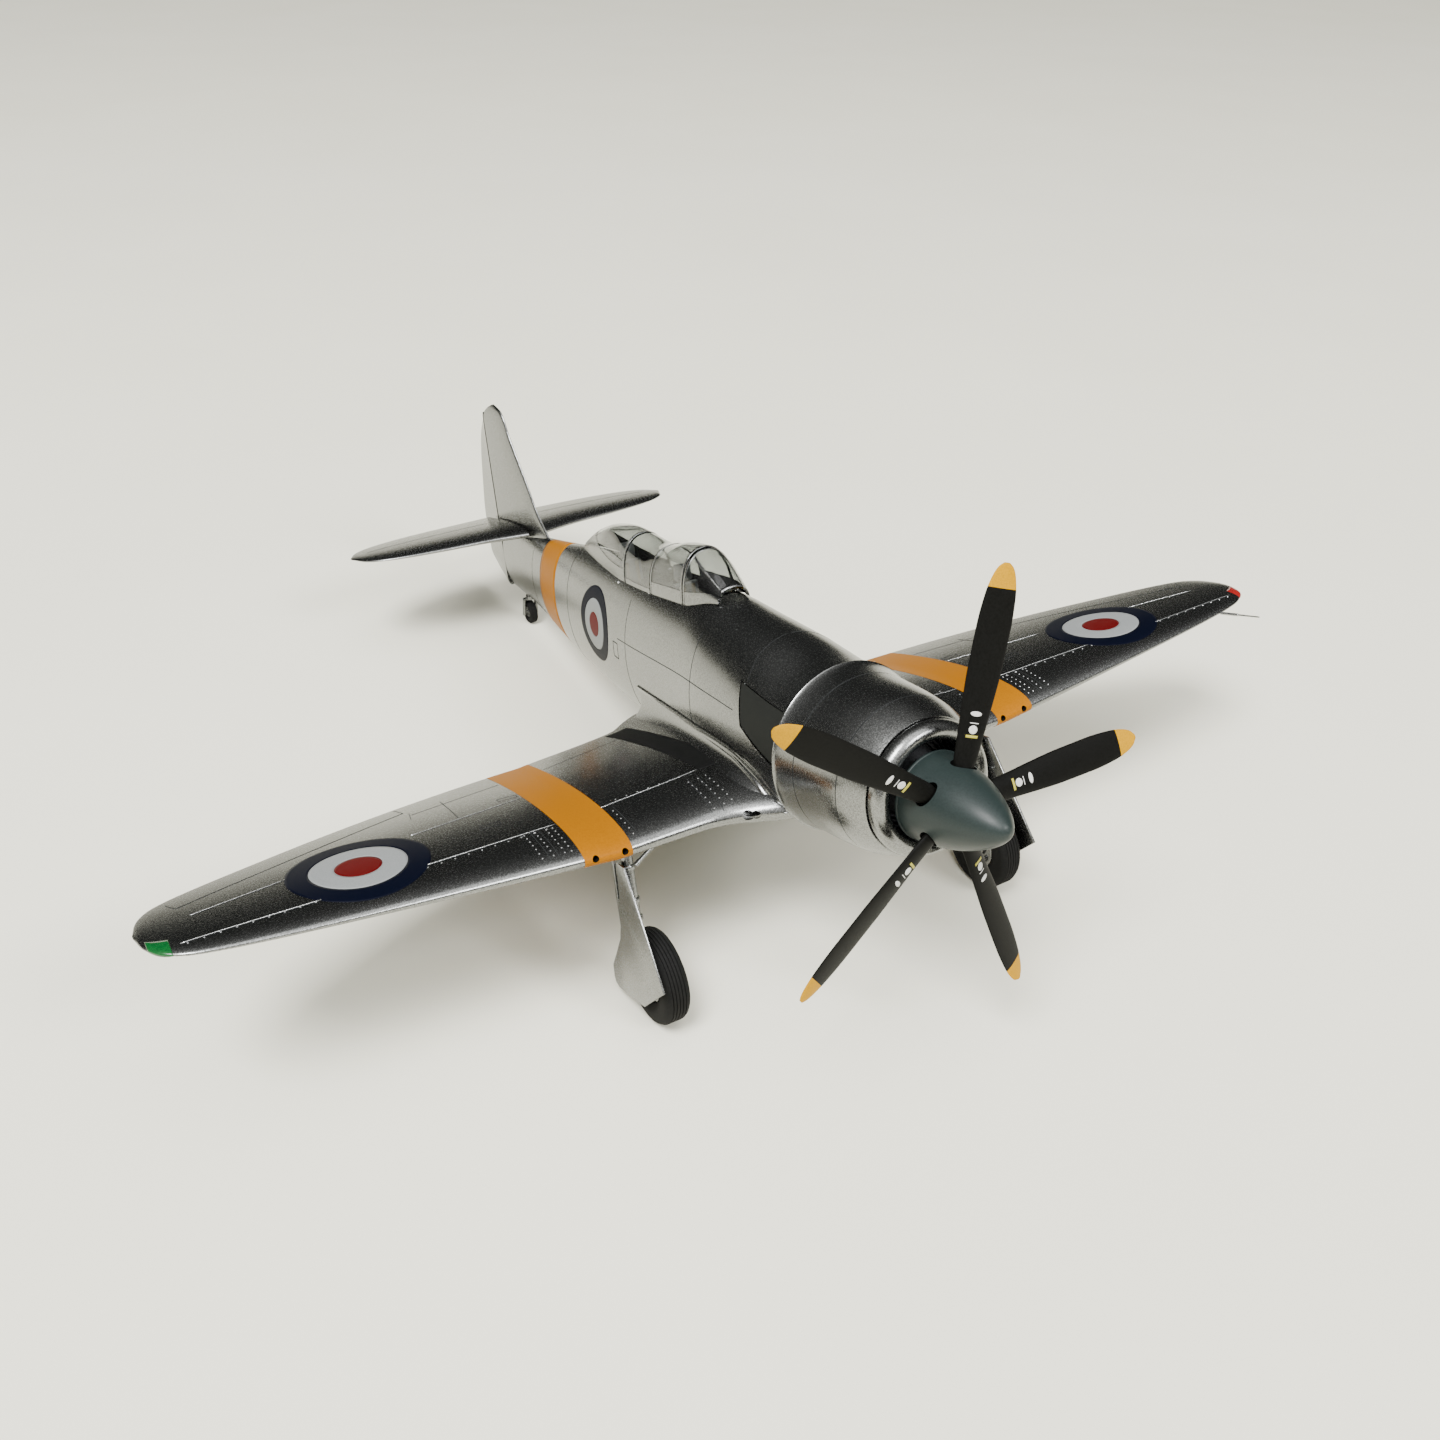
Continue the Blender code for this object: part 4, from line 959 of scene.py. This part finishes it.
for i in range(BLADES):
    def blade_shell(u, w):
        radius = blade_radius(u)
        turn = 2.0 * math.pi * w
        thick = blade_thickness(radius) * (0.35 + 0.65 * abs(math.sin(turn)) ** 0.3)
        return blade(i, radius, turn, blade_chord(radius), thick)
    bm = skin(blade_shell, 80, 40)
    for face in bm.faces:
        if (face.calc_center_median() - hub_centre).length > TIP_START * MM:
            face.material_index = 1
    join(bm, rod(blade(i, 2.7, 0.0, 0.0, 0.0), blade(i, 6.6, 0.0, 0.0, 0.0), 1.0 * MM, 20))
    piece("blade_%d" % (i + 1), bm, [blade_black, tip_yellow], "propeller", "propeller_black",
          "propeller_blade_%d" % (i + 1), crease=50.0)
    bm = bmesh.new()
    for radius, tall, share, index in BARS:
        def bar(u, w, lift):
            r = radius + tall * (w - 0.5)
            turn = -math.acos(share * (2.0 * u - 1.0))
            return blade(i, r, turn, blade_chord(r), blade_thickness(r), lift)
        lay(bm, bar, 10, 3, index)
    for radius, tall, wide in DISCS:
        def disc(u, w, lift):
            turn = 2.0 * math.pi * w
            r = radius + tall * u * math.cos(turn)
            chord = blade_chord(r)
            face_turn = -math.acos(2.0 * wide * u * math.sin(turn) / chord)
            return blade(i, r, face_turn, chord, blade_thickness(r), lift)
        lay(bm, disc, 4, 28, 1)
    film_piece("blade_marks_%d" % (i + 1), bm, [mark_yellow, mark_white], "propeller_black", "propeller")

# ---------------------------------------------------------------- cockpit
# A matt black tub with two moulded seats in grey, each with a pan, a back, a head cushion and
# buff straps, and two dark instrument panels with small dials. A stick stands ahead of each.
# The seats' pale grey moulding is given a darker grey, painted shade under the canopy.
seat_grey = paint("seat_grey", (0.13, 0.133, 0.13), (0.09, 0.092, 0.09), 3000.0, 0.6, 0.1, 0.3)
strap_buff = paint("strap_buff", (0.16, 0.13, 0.08), (0.11, 0.09, 0.055), 6000.0, 0.8, 0.1, 0.6)
dial_face = paint("dial_face", (0.25, 0.25, 0.24), (0.18, 0.18, 0.17), 6000.0, 0.4, 0.1, 0.1)
SEATS = (("front", 4.72), ("rear", 5.98))
PANEL_AHEAD = 0.552
DIAL_RADIUS = 0.55 * MM


def refinish(finish, *names):
    """Give CAD nodes that are carried over as they are a new finish."""
    for name in names:
        used = frame["nodes"][name].data.materials
        used.clear()
        used.append(finish)


refinish(black, "cockpit_tub", "front_control_stick", "rear_control_stick", "firewall")


def soft_block(bm, low, high, radius, index=0):
    """Add a rounded box between two full-size corners."""
    made = block(low, high)
    bmesh.ops.recalc_face_normals(made, faces=made.faces)
    bmesh.ops.bevel(made, geom=made.edges[:] + made.verts[:], offset=radius, affect="EDGES",
                    segments=3, profile=0.5, material=-1)
    join(bm, made, index)


for name, y in SEATS:
    bm = bmesh.new()
    soft_block(bm, (-0.125, y - 0.19, 0.115), (0.125, y + 0.08, 0.26), 0.35 * MM)
    soft_block(bm, (-0.135, y + 0.09, 0.12), (0.135, y + 0.165, 0.98), 0.5 * MM)
    soft_block(bm, (-0.085, y + 0.11, 0.99), (0.085, y + 0.19, 1.17), 0.6 * MM)
    soft_block(bm, (-0.012, y + 0.12, 0.95), (0.012, y + 0.16, 1.02), 0.1 * MM)
    for x in (-0.06, 0.06):
        soft_block(bm, (x - 0.02, y + 0.07, 0.30), (x + 0.02, y + 0.085, 0.96), 0.1 * MM, 1)
    piece(name + "_pilot_seat", bm, [seat_grey, strap_buff], "airframe", "seat_grey", name + "_seat")
    panel_y = y - PANEL_AHEAD
    bm = bmesh.new()
    soft_block(bm, (-0.168, panel_y, 0.55), (0.168, panel_y + 0.048, 0.88), 0.25 * MM)
    soft_block(bm, (-0.19, panel_y - 0.05, 0.86), (0.19, panel_y + 0.09, 0.91), 0.35 * MM)
    for row in range(2):
        for column in range(4):
            centre = at(-0.12 + 0.08 * column, panel_y + 0.052, 0.66 + 0.11 * row)
            join(bm, rod(centre, centre + AFT * 0.12 * MM, DIAL_RADIUS, 16), 1)
    piece(name + "_dashboard", bm, [black, dial_face], "airframe", "cockpit_black",
          name + "_instrument_panel")

# ---------------------------------------------------------------- canopy
# Clear mouldings: a windscreen, a bulged front hood, a low tunnel and a bulged rear hood. The
# hoops and sills are painted silver on the outside, and are films with a real edge.
canopy_ridge = smooth_curve((3.84, 1.11), (4.05, 1.27), (4.25, 1.39), (4.42, 1.44), (4.65, 1.425),
                            (5.0, 1.35), (5.25, 1.315), (5.6, 1.345), (5.95, 1.385), (6.3, 1.35),
                            (6.7, 1.23), (7.0, 1.09), (7.2, 0.98))
CANOPY_GAP = 0.3 * MM / SCALE
CANOPY_WALL = 0.45 * MM


def deck(y, x):
    """Return the height of the fuselage's upper skin."""
    waist = body_waist(y)
    share = min(0.999, abs(x) / body_half(y))
    return waist + (body_top(y) - waist) * math.sqrt(1.0 - share * share)


def hood(y, turn, lift=0.0):
    """Return a point of the canopy's outer skin, the turn counted from port over the top."""
    out = lift / SCALE
    half = canopy_half(y) + out
    base = deck(y, half) + CANOPY_GAP
    tall = canopy_ridge(y) + out - base
    c = math.cos(turn)
    x = half * math.copysign(abs(c) ** 0.85, c)
    return at(x, y, base + tall * max(0.0, math.sin(turn)) ** 0.9)


def hood_turn(y, height):
    """Return the turn at which the canopy stands a given height above its base."""
    half = canopy_half(y)
    tall = canopy_ridge(y) - deck(y, half) - CANOPY_GAP
    return math.asin(min(1.0, (height / tall) ** (1.0 / 0.9)))


clear, tree, shader = material("clear_styrene")
coords = tree.nodes.new("ShaderNodeTexCoord")
ripple = tree.nodes.new("ShaderNodeTexNoise")
ripple.inputs["Scale"].default_value = 160.0
waves = tree.nodes.new("ShaderNodeBump")
waves.inputs["Strength"].default_value = 0.12
waves.inputs["Distance"].default_value = 0.05 * MM
haze = tree.nodes.new("ShaderNodeMapRange")
haze.inputs["To Min"].default_value = 0.01
haze.inputs["To Max"].default_value = 0.06
wire(tree, (coords, "Object"), (ripple, "Vector"))
wire(tree, (ripple, "Fac"), (waves, "Height"))
wire(tree, (ripple, "Fac"), (haze, "Value"))
wire(tree, (haze, "Result"), (shader, "Roughness"))
wire(tree, (waves, "Normal"), (shader, "Normal"))
# The grey tint darkens the cockpit seen through the clear parts: painted shade for the dim interior.
shader.inputs["Base Color"].default_value = (0.62, 0.64, 0.63, 1.0)
shader.inputs["Transmission Weight"].default_value = 1.0
shader.inputs["IOR"].default_value = 1.46

sill_height = smooth_curve((3.86, 0.05), (4.0, 0.10), (4.34, 0.14), (5.04, 0.13), (5.06, 0.05),
                           (5.66, 0.06), (5.68, 0.14), (6.1, 0.15), (6.45, 0.20), (6.72, 0.34),
                           (6.78, 0.6))
HOODS = (("windscreen", 3.86, 4.34), ("front_hood", 4.36, 5.04), ("canopy_tunnel", 5.06, 5.66),
         ("rear_hood", 5.68, 7.12))
HOOP = 0.030
for name, front, back in HOODS:
    def shell(u, w):
        y = front + (back - front) * u
        turn = math.pi * 2.0 * w if w <= 0.5 else math.pi * (2.0 - 2.0 * w)
        return hood(y, turn, 0.0 if SEAM < w <= 0.5 else -CANOPY_WALL)
    piece(name + "_glass", skin(shell, 40, 97), [clear], "airframe", "canopy_clear", name)
    bm = bmesh.new()
    for side in (0.0, math.pi):
        def sill(u, w, lift):
            y = front + (back - front) * u
            turn = hood_turn(y, sill_height(y)) * w
            return hood(y, abs(side - turn), lift)
        lay(bm, sill, 48, 24)
    ends = {"windscreen": (back,), "front_hood": (front, back), "canopy_tunnel": (), "rear_hood": (front,)}
    for end in ends[name]:
        def hoop(u, w, lift):
            width = HOOP if end == front else -HOOP
            return hood(end + width * u, math.pi * w, lift + 0.04 * MM)
        lay(bm, hoop, 3, 72)
    if name == "windscreen":
        for side in (1.0, -1.0):
            def post(u, w, lift):
                y = front + 0.01 + (back - front - 0.02) * w
                turn = math.radians(52.0 + 14.0 * w) + 0.09 * (u - 0.5)
                return hood(y, to_side(side, turn), lift + 0.03 * MM)
            lay(bm, post, 3, 30)

        def lower_frame(u, w, lift):
            return hood(front + 0.028 * u, math.radians(50.0 + 80.0 * w), lift + 0.05 * MM)
        lay(bm, lower_frame, 2, 24)
    film_piece(name + "_frame", bm, [silver], thickness=0.10)

# ---------------------------------------------------------------- main undercarriage
# Each leg is a silver tube with a hinged door outboard of it, a slanting side strut, and a
# matt black tyre on a silver hub that turns on an axle inboard of the leg.
rubber = paint("tyre_black", (0.010, 0.010, 0.0095), (0.005, 0.005, 0.005), 2600.0,
               0.72, 0.12, 0.6, gloss=0.1)
steel = paint("bright_metal", (0.72, 0.72, 0.72), (0.55, 0.55, 0.55), 4000.0, 0.25, 0.08, 0.2, 1.0)
leg_x = smooth_curve((-1.865, 2.04), (-1.345, 2.03), (-1.285, 2.005), (-1.225, 1.974), (-1.10, 1.967),
                     (-0.60, 1.94))
leg_y = smooth_curve((-1.865, 2.565), (-1.775, 2.575), (-1.345, 2.634), (-1.225, 2.664), (-1.10, 2.684),
                     (-0.60, 2.765))
leg_wide = smooth_curve((-1.865, 0.22), (-1.345, 0.22), (-1.285, 0.5), (-1.225, 0.80), (-1.20, 1.05),
                        (-0.60, 1.15))
leg_deep = smooth_curve((-1.865, 0.8), (-1.775, 1.6), (-1.345, 1.4), (-1.225, 1.15), (-0.60, 1.15))


def plate(outline, depth, bevel):
    """Extrude a flat outline of world points by a vector and round its rims."""
    bm = bmesh.new()
    face = bm.faces.new([bm.verts.new(point) for point in outline])
    made = bmesh.ops.extrude_face_region(bm, geom=[face], use_keep_orig=True)
    moved = [item for item in made["geom"] if isinstance(item, bmesh.types.BMVert)]
    bmesh.ops.translate(bm, verts=moved, vec=depth)
    bmesh.ops.recalc_face_normals(bm, faces=bm.faces)
    bmesh.ops.bevel(bm, geom=bm.edges[:] + bm.verts[:], offset=bevel, affect="EDGES", segments=2,
                    profile=0.5, material=-1)
    return bm


def wheel(label, body, joint_name, radius, half_width, axle, treads):
    """Make one ribbed tyre and its dished hub round a wheel joint."""
    centre = Vector(joint_named(joint_name)["pos_m"])
    seat = 0.52 * radius
    w = half_width
    flank = [(-0.72 * w, seat), (-0.98 * w, 0.66 * radius), (-w, 0.84 * radius),
             (-0.93 * w, 0.92 * radius), (-0.80 * w, 0.962 * radius), (-0.62 * w, 0.988 * radius)]
    outline = list(flank)
    for k in range(treads):
        middle = 0.50 * w * (2.0 * k / (treads - 1) - 1.0)
        cut = 0.035 * w
        outline += [(middle - 2.2 * cut, 0.999 * radius), (middle - cut, 0.999 * radius),
                    (middle - 0.6 * cut, 0.972 * radius), (middle + 0.6 * cut, 0.972 * radius),
                    (middle + cut, 0.999 * radius)]
    outline += [(-a, b) for a, b in reversed(flank)]
    bm = turned(outline, 96, centre, PORT, UP)
    piece("tyre_ribbed_" + label, bm, [rubber], body, "tyre_rubber", "tyre_" + label)
    rim = seat - 0.3 * MM
    bore_wide = axle + 0.25 * MM
    face = rim - bore_wide
    half_disc = [(0.70 * w, rim), (0.74 * w, rim - 0.06 * face), (0.70 * w, bore_wide + 0.80 * face),
                 (0.36 * w, bore_wide + 0.66 * face), (0.30 * w, bore_wide + 0.45 * face),
                 (0.36 * w, bore_wide + 0.30 * face), (0.66 * w, bore_wide + 0.24 * face),
                 (0.72 * w, bore_wide + 0.12 * face), (0.70 * w, bore_wide)]
    disc = half_disc + [(-a, b) for a, b in reversed(half_disc)]
    bm = turned(disc, 64, centre, PORT, UP)
    for k in range(6):
        turn = math.radians(60.0 * k)
        spot = centre + (AFT * math.cos(turn) + UP * math.sin(turn)) * (bore_wide + 0.52 * face)
        join(bm, rod(spot - PORT * 0.50 * w, spot + PORT * 0.50 * w, 0.075 * rim, 10))
    piece("hub_dished_" + label, bm, [silver], body, "silver_paint", "wheel_hub_" + label)


LEG_FOOT = -1.865
LEG_LONG = 1.265
COLLARS = ((-1.19, 1.32), (-1.02, 1.28), (-0.72, 1.34))
MAIN_RADIUS = 0.439 * SCALE
MAIN_HALF_WIDTH = 0.127 * SCALE
for side, label in ((1.0, "left"), (-1.0, "right")):
    def leg_shell(u, w):
        z = LEG_FOOT + LEG_LONG * u
        turn = 2.0 * math.pi * w
        return at(side * leg_x(z), leg_y(z), z) + PORT * leg_wide(z) * MM * math.cos(turn) \
            + AFT * leg_deep(z) * MM * math.sin(turn)
    bm = skin(leg_shell, 70, 36)
    for z, radius in COLLARS:
        spot = at(side * leg_x(z), leg_y(z), z)
        slope = (at(side * leg_x(z + 0.05), leg_y(z + 0.05), z + 0.05) - spot).normalized()
        ring = [(-0.45 * MM, 0.9 * MM), (-0.45 * MM, radius * MM), (-0.30 * MM, radius * MM + 0.1 * MM),
                (0.30 * MM, radius * MM + 0.1 * MM), (0.45 * MM, radius * MM), (0.45 * MM, 0.9 * MM)]
        join(bm, turned(ring, 32, spot, slope, slope.orthogonal().normalized()))
    silver_piece("leg_tube_" + label, bm, "main_leg_" + label)

    outline = ((2.625, -0.65), (2.03, -1.61), (2.455, -1.957), (2.97, -2.018), (3.035, -1.995),
               (3.06, -1.94), (3.06, -1.815), (2.965, -1.66), (2.847, -1.458), (2.806, -1.305),
               (2.822, -1.16), (2.845, -1.03), (2.86, -0.68), (2.825, -0.67), (2.805, -1.03),
               (2.775, -1.03), (2.775, -0.66))
    ring = [at(side * (2.039 + 0.053 * (-0.65 - z) / 1.12), y, z) for y, z in outline]
    door = plate(ring, -PORT * side * 0.45 * MM, 0.09 * MM)
    silver_piece("leg_door_plate_" + label, door, "leg_door_" + label)

    low = at(side * 1.865, 2.765, -0.745)
    high = at(side * 1.66, 2.80, -0.64)
    bm = rod(low, high, 0.42 * MM, 20)
    for start, end in ((low, high), (high, low)):
        join(bm, rod(start, start + (end - start) * 0.22, 0.52 * MM, 20))
    silver_piece("strut_rod_" + label, bm, "side_strut_" + label)
    wheel(label, label + "_wheel", label + "_wheel_roll", MAIN_RADIUS, MAIN_HALF_WIDTH, 0.6 * MM, 5)
    refinish(steel, "axle_" + label)

# ---------------------------------------------------------------- tail wheel
# A small black tyre on a silver hub, held in a silver fork on a raked stem that runs up into
# the fuselage.
TAIL_RADIUS = 0.155 * SCALE
wheel("tail", "tail_wheel", "tail_wheel_roll", TAIL_RADIUS, 0.05 * SCALE, 0.35 * MM, 2)
hub_at = Vector(joint_named("tail_wheel_roll")["pos_m"])
arm = 0.05 * SCALE + 0.65 * MM
rake = UP - AFT * 0.35
crown = hub_at + rake * (TAIL_RADIUS + 0.95 * MM)
bm = bmesh.new()
for side in (1.0, -1.0):
    foot = hub_at + PORT * side * arm
    join(bm, rod(foot - rake * 0.6 * MM, crown + PORT * side * arm, 0.55 * MM, 16, 0.42 * MM))
join(bm, rod(crown - PORT * (arm + 0.3 * MM), crown + PORT * (arm + 0.3 * MM), 0.5 * MM, 16))
join(bm, rod(crown, crown + rake * 3.0 * MM, 0.85 * MM, 20, 0.75 * MM))
join(bm, rod(crown, crown + rake * 0.9 * MM, 1.1 * MM, 20))
silver_piece("tail_fork", bm, "tail_wheel_fork")
refinish(steel, "tail_wheel_axle", "propeller_hub", "propeller_shaft", "shaft_retainer")
refinish(spinner_paint, "spinner_backplate")

# ---------------------------------------------------------------- pitot tube and tip lights
# A turned metal tube in a short sleeve ahead of the port wing, and a coloured lens let into
# each wing tip's leading edge, red to port and green to starboard.
lens_red = paint("lens_red", (0.30, 0.010, 0.008), (0.20, 0.006, 0.005), 2000.0, 0.18, 0.05, 0.1, 0.0, 0.6)
lens_green = paint("lens_green", (0.003, 0.085, 0.016), (0.002, 0.055, 0.010), 2000.0,
                   0.18, 0.05, 0.1, 0.0, 0.6)
BOOM_STATION = 5.20
LENS_START = 5.63
LENS_WIDTH = 0.155
y, z = wing_point(BOOM_STATION, 0.0)
root = at(BOOM_STATION, y - 0.012, z)
end = at(5.27, 2.10, -0.092)
bm = rod(root, root + (end - root) * 0.45, 0.34 * MM, 20)
join(bm, rod(root + (end - root) * 0.42, end, 0.22 * MM, 20, 0.17 * MM))
piece("pitot_boom", bm, [steel], "airframe", "bare_metal", "pitot_tube")
for side, label, lens, slot in ((1.0, "left", lens_red, "light_red"),
                                (-1.0, "right", lens_green, "light_green")):
    bm = bmesh.new()

    def lens_cap(u, w, lift):
        x = LENS_START + LENS_WIDTH * u
        s = 0.30 - 0.62 * w
        dome = math.sin(math.pi * u) * math.sin(math.pi * w)
        return wing(side, x, s, lift + 0.22 * MM * dome)
    lay(bm, lens_cap, 20, 28)
    made = film_piece("tip_light_" + label, bm, [lens], slot, thickness=0.1)
    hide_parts("navigation_light_" + label)

# ---------------------------------------------------------------- panel lines and rivets
# Engraved joints with a dark wash, and rows of raised rivets. Each line is a hair-wide film on
# its skin, and each rivet a low dome, so that they stay sharp at any distance. A bright film
# beside each spar line is a painted highlight, and the rivets' bright silver is a painted glint.
WING_LINE = 0.0065
GLINT_HIGHLIGHT_WIDTH = 0.004
SPARS = (((0.98, 3.10), (1.99, 3.04)), ((2.45, 2.98), (3.62, 2.88)), ((4.50, 2.79), (5.56, 2.73)),
         ((2.45, 3.76), (3.55, 3.55)), ((4.66, 3.33), (5.42, 3.14)))
WING_JOINTS = (((3.38, 4.19), (3.42, 3.98), WING_LINE), ((3.42, 4.25), (5.50, 3.36), 0.011),
               ((3.42, 4.25), (3.46, 4.44), WING_LINE), ((5.50, 3.36), (5.56, 3.50), WING_LINE),
               ((3.05, 4.32), (3.08, 3.68), WING_LINE), ((1.02, 4.66), (1.96, 4.46), WING_LINE),
               ((2.46, 4.36), (3.38, 4.12), WING_LINE), ((2.62, 2.52), (2.62, 2.97), WING_LINE),
               ((2.70, 2.52), (2.70, 2.97), WING_LINE), ((1.90, 2.50), (1.90, 3.02), WING_LINE),
               ((1.20, 2.47), (1.14, 3.04), WING_LINE), ((1.10, 2.44), (1.04, 3.04), WING_LINE))
HATCHES = ((2.92, 3.30), (2.56, 3.86))
BODY_JOINTS = (((2.80, 40.5), (2.88, 60.0)), ((2.88, 60.0), (2.90, 89.0)), ((2.90, 20.0), (5.62, 12.0)),
               ((3.80, 50.0), (3.80, -30.0)), ((5.40, 45.0), (5.40, -60.0)),
               ((7.20, 88.0), (7.20, -88.0)), ((8.60, 70.0), (8.60, -88.0)),
               ((5.62, 8.0), (5.74, 8.0)), ((5.62, -3.0), (5.74, -3.0)),
               ((5.62, 8.0), (5.62, -3.0)), ((5.74, 8.0), (5.74, -3.0)))
FASTENERS = ((5.842, 53.9, 0.30), (5.648, 60.5, 0.34), (5.10, 57.0, 0.26))


def wing_line(bm, side, start, end, top=True, width=WING_LINE, index=0):
    """Draw one line on a wing skin between two (x, y) stations."""
    long = math.hypot(end[0] - start[0], end[1] - start[1])
    across = ((start[1] - end[1]) / long * width, (end[0] - start[0]) / long * width)

    def strip(u, w, lift):
        x = start[0] + (end[0] - start[0]) * w + across[0] * (u - 0.5)
        y = start[1] + (end[1] - start[1]) * w + across[1] * (u - 0.5)
        return wing(side, x, share_at(x, y, top), lift)
    lay(bm, strip, 1, max(6, int(long * 24)), index)


def body_line(bm, start, end, width=WING_LINE):
    """Draw one line on the fuselage between two (y, turn in degrees) stations."""
    reach = body_half(start[0])
    dy = end[0] - start[0]
    dt = math.radians(end[1] - start[1])
    long = math.hypot(dy, dt * reach)
    side_y = -dt * reach / long * width
    side_t = dy / long * width / reach

    def strip(u, w, lift):
        return hull(start[0] + dy * w + side_y * (u - 0.5),
                    math.radians(start[1]) + dt * w + side_t * (u - 0.5), lift)
    lay(bm, strip, 1, max(6, int(long * 28)))


def rivets(bm, points, radius):
    """Raise a low dome at each skin point, given as surface(lift)."""
    for place in points:
        foot = place(-0.02 * MM)
        crown = place(0.09 * MM)
        dome = bmesh.ops.create_cone(bm, cap_ends=True, segments=8, radius1=radius, radius2=0.45 * radius,
                                     depth=(crown - foot).length)
        turn = (crown - foot).to_track_quat("Z", "Y").to_matrix().to_4x4()
        bmesh.ops.transform(bm, verts=dome["verts"], matrix=Matrix.Translation((foot + crown) / 2.0) @ turn)


for side, label in ((1.0, "left"), (-1.0, "right")):
    bm = bmesh.new()
    for top in (True, False):
        for start, end in SPARS:
            wing_line(bm, side, start, end, top)
            # A bright film just behind each spar line: a painted highlight where the engraved edge catches
            # light.
            glint_highlight_stations = ((start[0], start[1] + 0.011), (end[0], end[1] + 0.011))
            wing_line(bm, side, *glint_highlight_stations, top, GLINT_HIGHLIGHT_WIDTH, 1)
        for start, end, width in WING_JOINTS:
            wing_line(bm, side, start, end, top, width)
    for x, y in HATCHES:
        for dy in (-0.035, 0.035):
            wing_line(bm, side, (x - 0.09, y + dy), (x + 0.09, y + dy))
        for dx in (-0.09, 0.09):
            wing_line(bm, side, (x + dx, y - 0.035), (x + dx, y + 0.035))
    film_piece("wing_lines_" + label, bm, [line_grey, painted_glint_silver])

    spots = []
    for column in (2.50, 2.56, 2.66, 2.76):
        spots += [(column, 2.56 + 0.062 * k) for k in range(7)]
    for column in (1.06, 0.98, 1.16):
        spots += [(column, 2.50 + 0.075 * k) for k in range(7)]
    spots += [(1.93, 2.55 + 0.075 * k) for k in range(6)]
    spots += [(1.05 + 0.11 * k, 3.10) for k in range(8)]
    spots += [(2.55 + 0.12 * k, 2.94 - 0.0105 * k) for k in range(10)]
    spots += [(4.55 + 0.12 * k, 2.78 - 0.0078 * k) for k in range(9)]
    bm = bmesh.new()
    places = [lambda lift, x=x, y=y: wing_top(side, x, y, lift) for x, y in spots]
    rivets(bm, places, 0.17 * MM)
    # The rivet domes are real, and their bright silver paints the glint on each head.
    piece("wing_rivets_" + label, bm, [painted_glint_silver], "airframe", "silver_paint")

bm = bmesh.new()
for mirror in (False, True):
    for joint in BODY_JOINTS:
        start, end = [(y, 180.0 - turn if mirror else turn) for y, turn in joint]
        body_line(bm, start, end)
film_piece("body_lines", bm, [line_grey])
bm = bmesh.new()
for y, turn, size in FASTENERS:
    for mirror in (False, True):
        angle = math.radians(180.0 - turn if mirror else turn)
        rivets(bm, [lambda lift, y=y, angle=angle: hull(y, angle, lift * 3.0)], size * MM)
# The fastener domes take the same bright silver, a painted glint.
piece("body_fasteners", bm, [painted_glint_silver], "airframe", "silver_paint")

bm = bmesh.new()
for side in (1.0, -1.0):
    def hinge(u, w, lift):
        x = 0.32 + 1.62 * w
        chord = tail_trailing(x) - tail_leading(x)
        share = 0.62 + WING_LINE * (u - 0.5) / chord
        return tailplane(side, x, math.acos(1.0 - 2.0 * share) / math.pi, lift)
    lay(bm, hinge, 1, 40)
film_piece("tail_lines", bm, [line_grey])
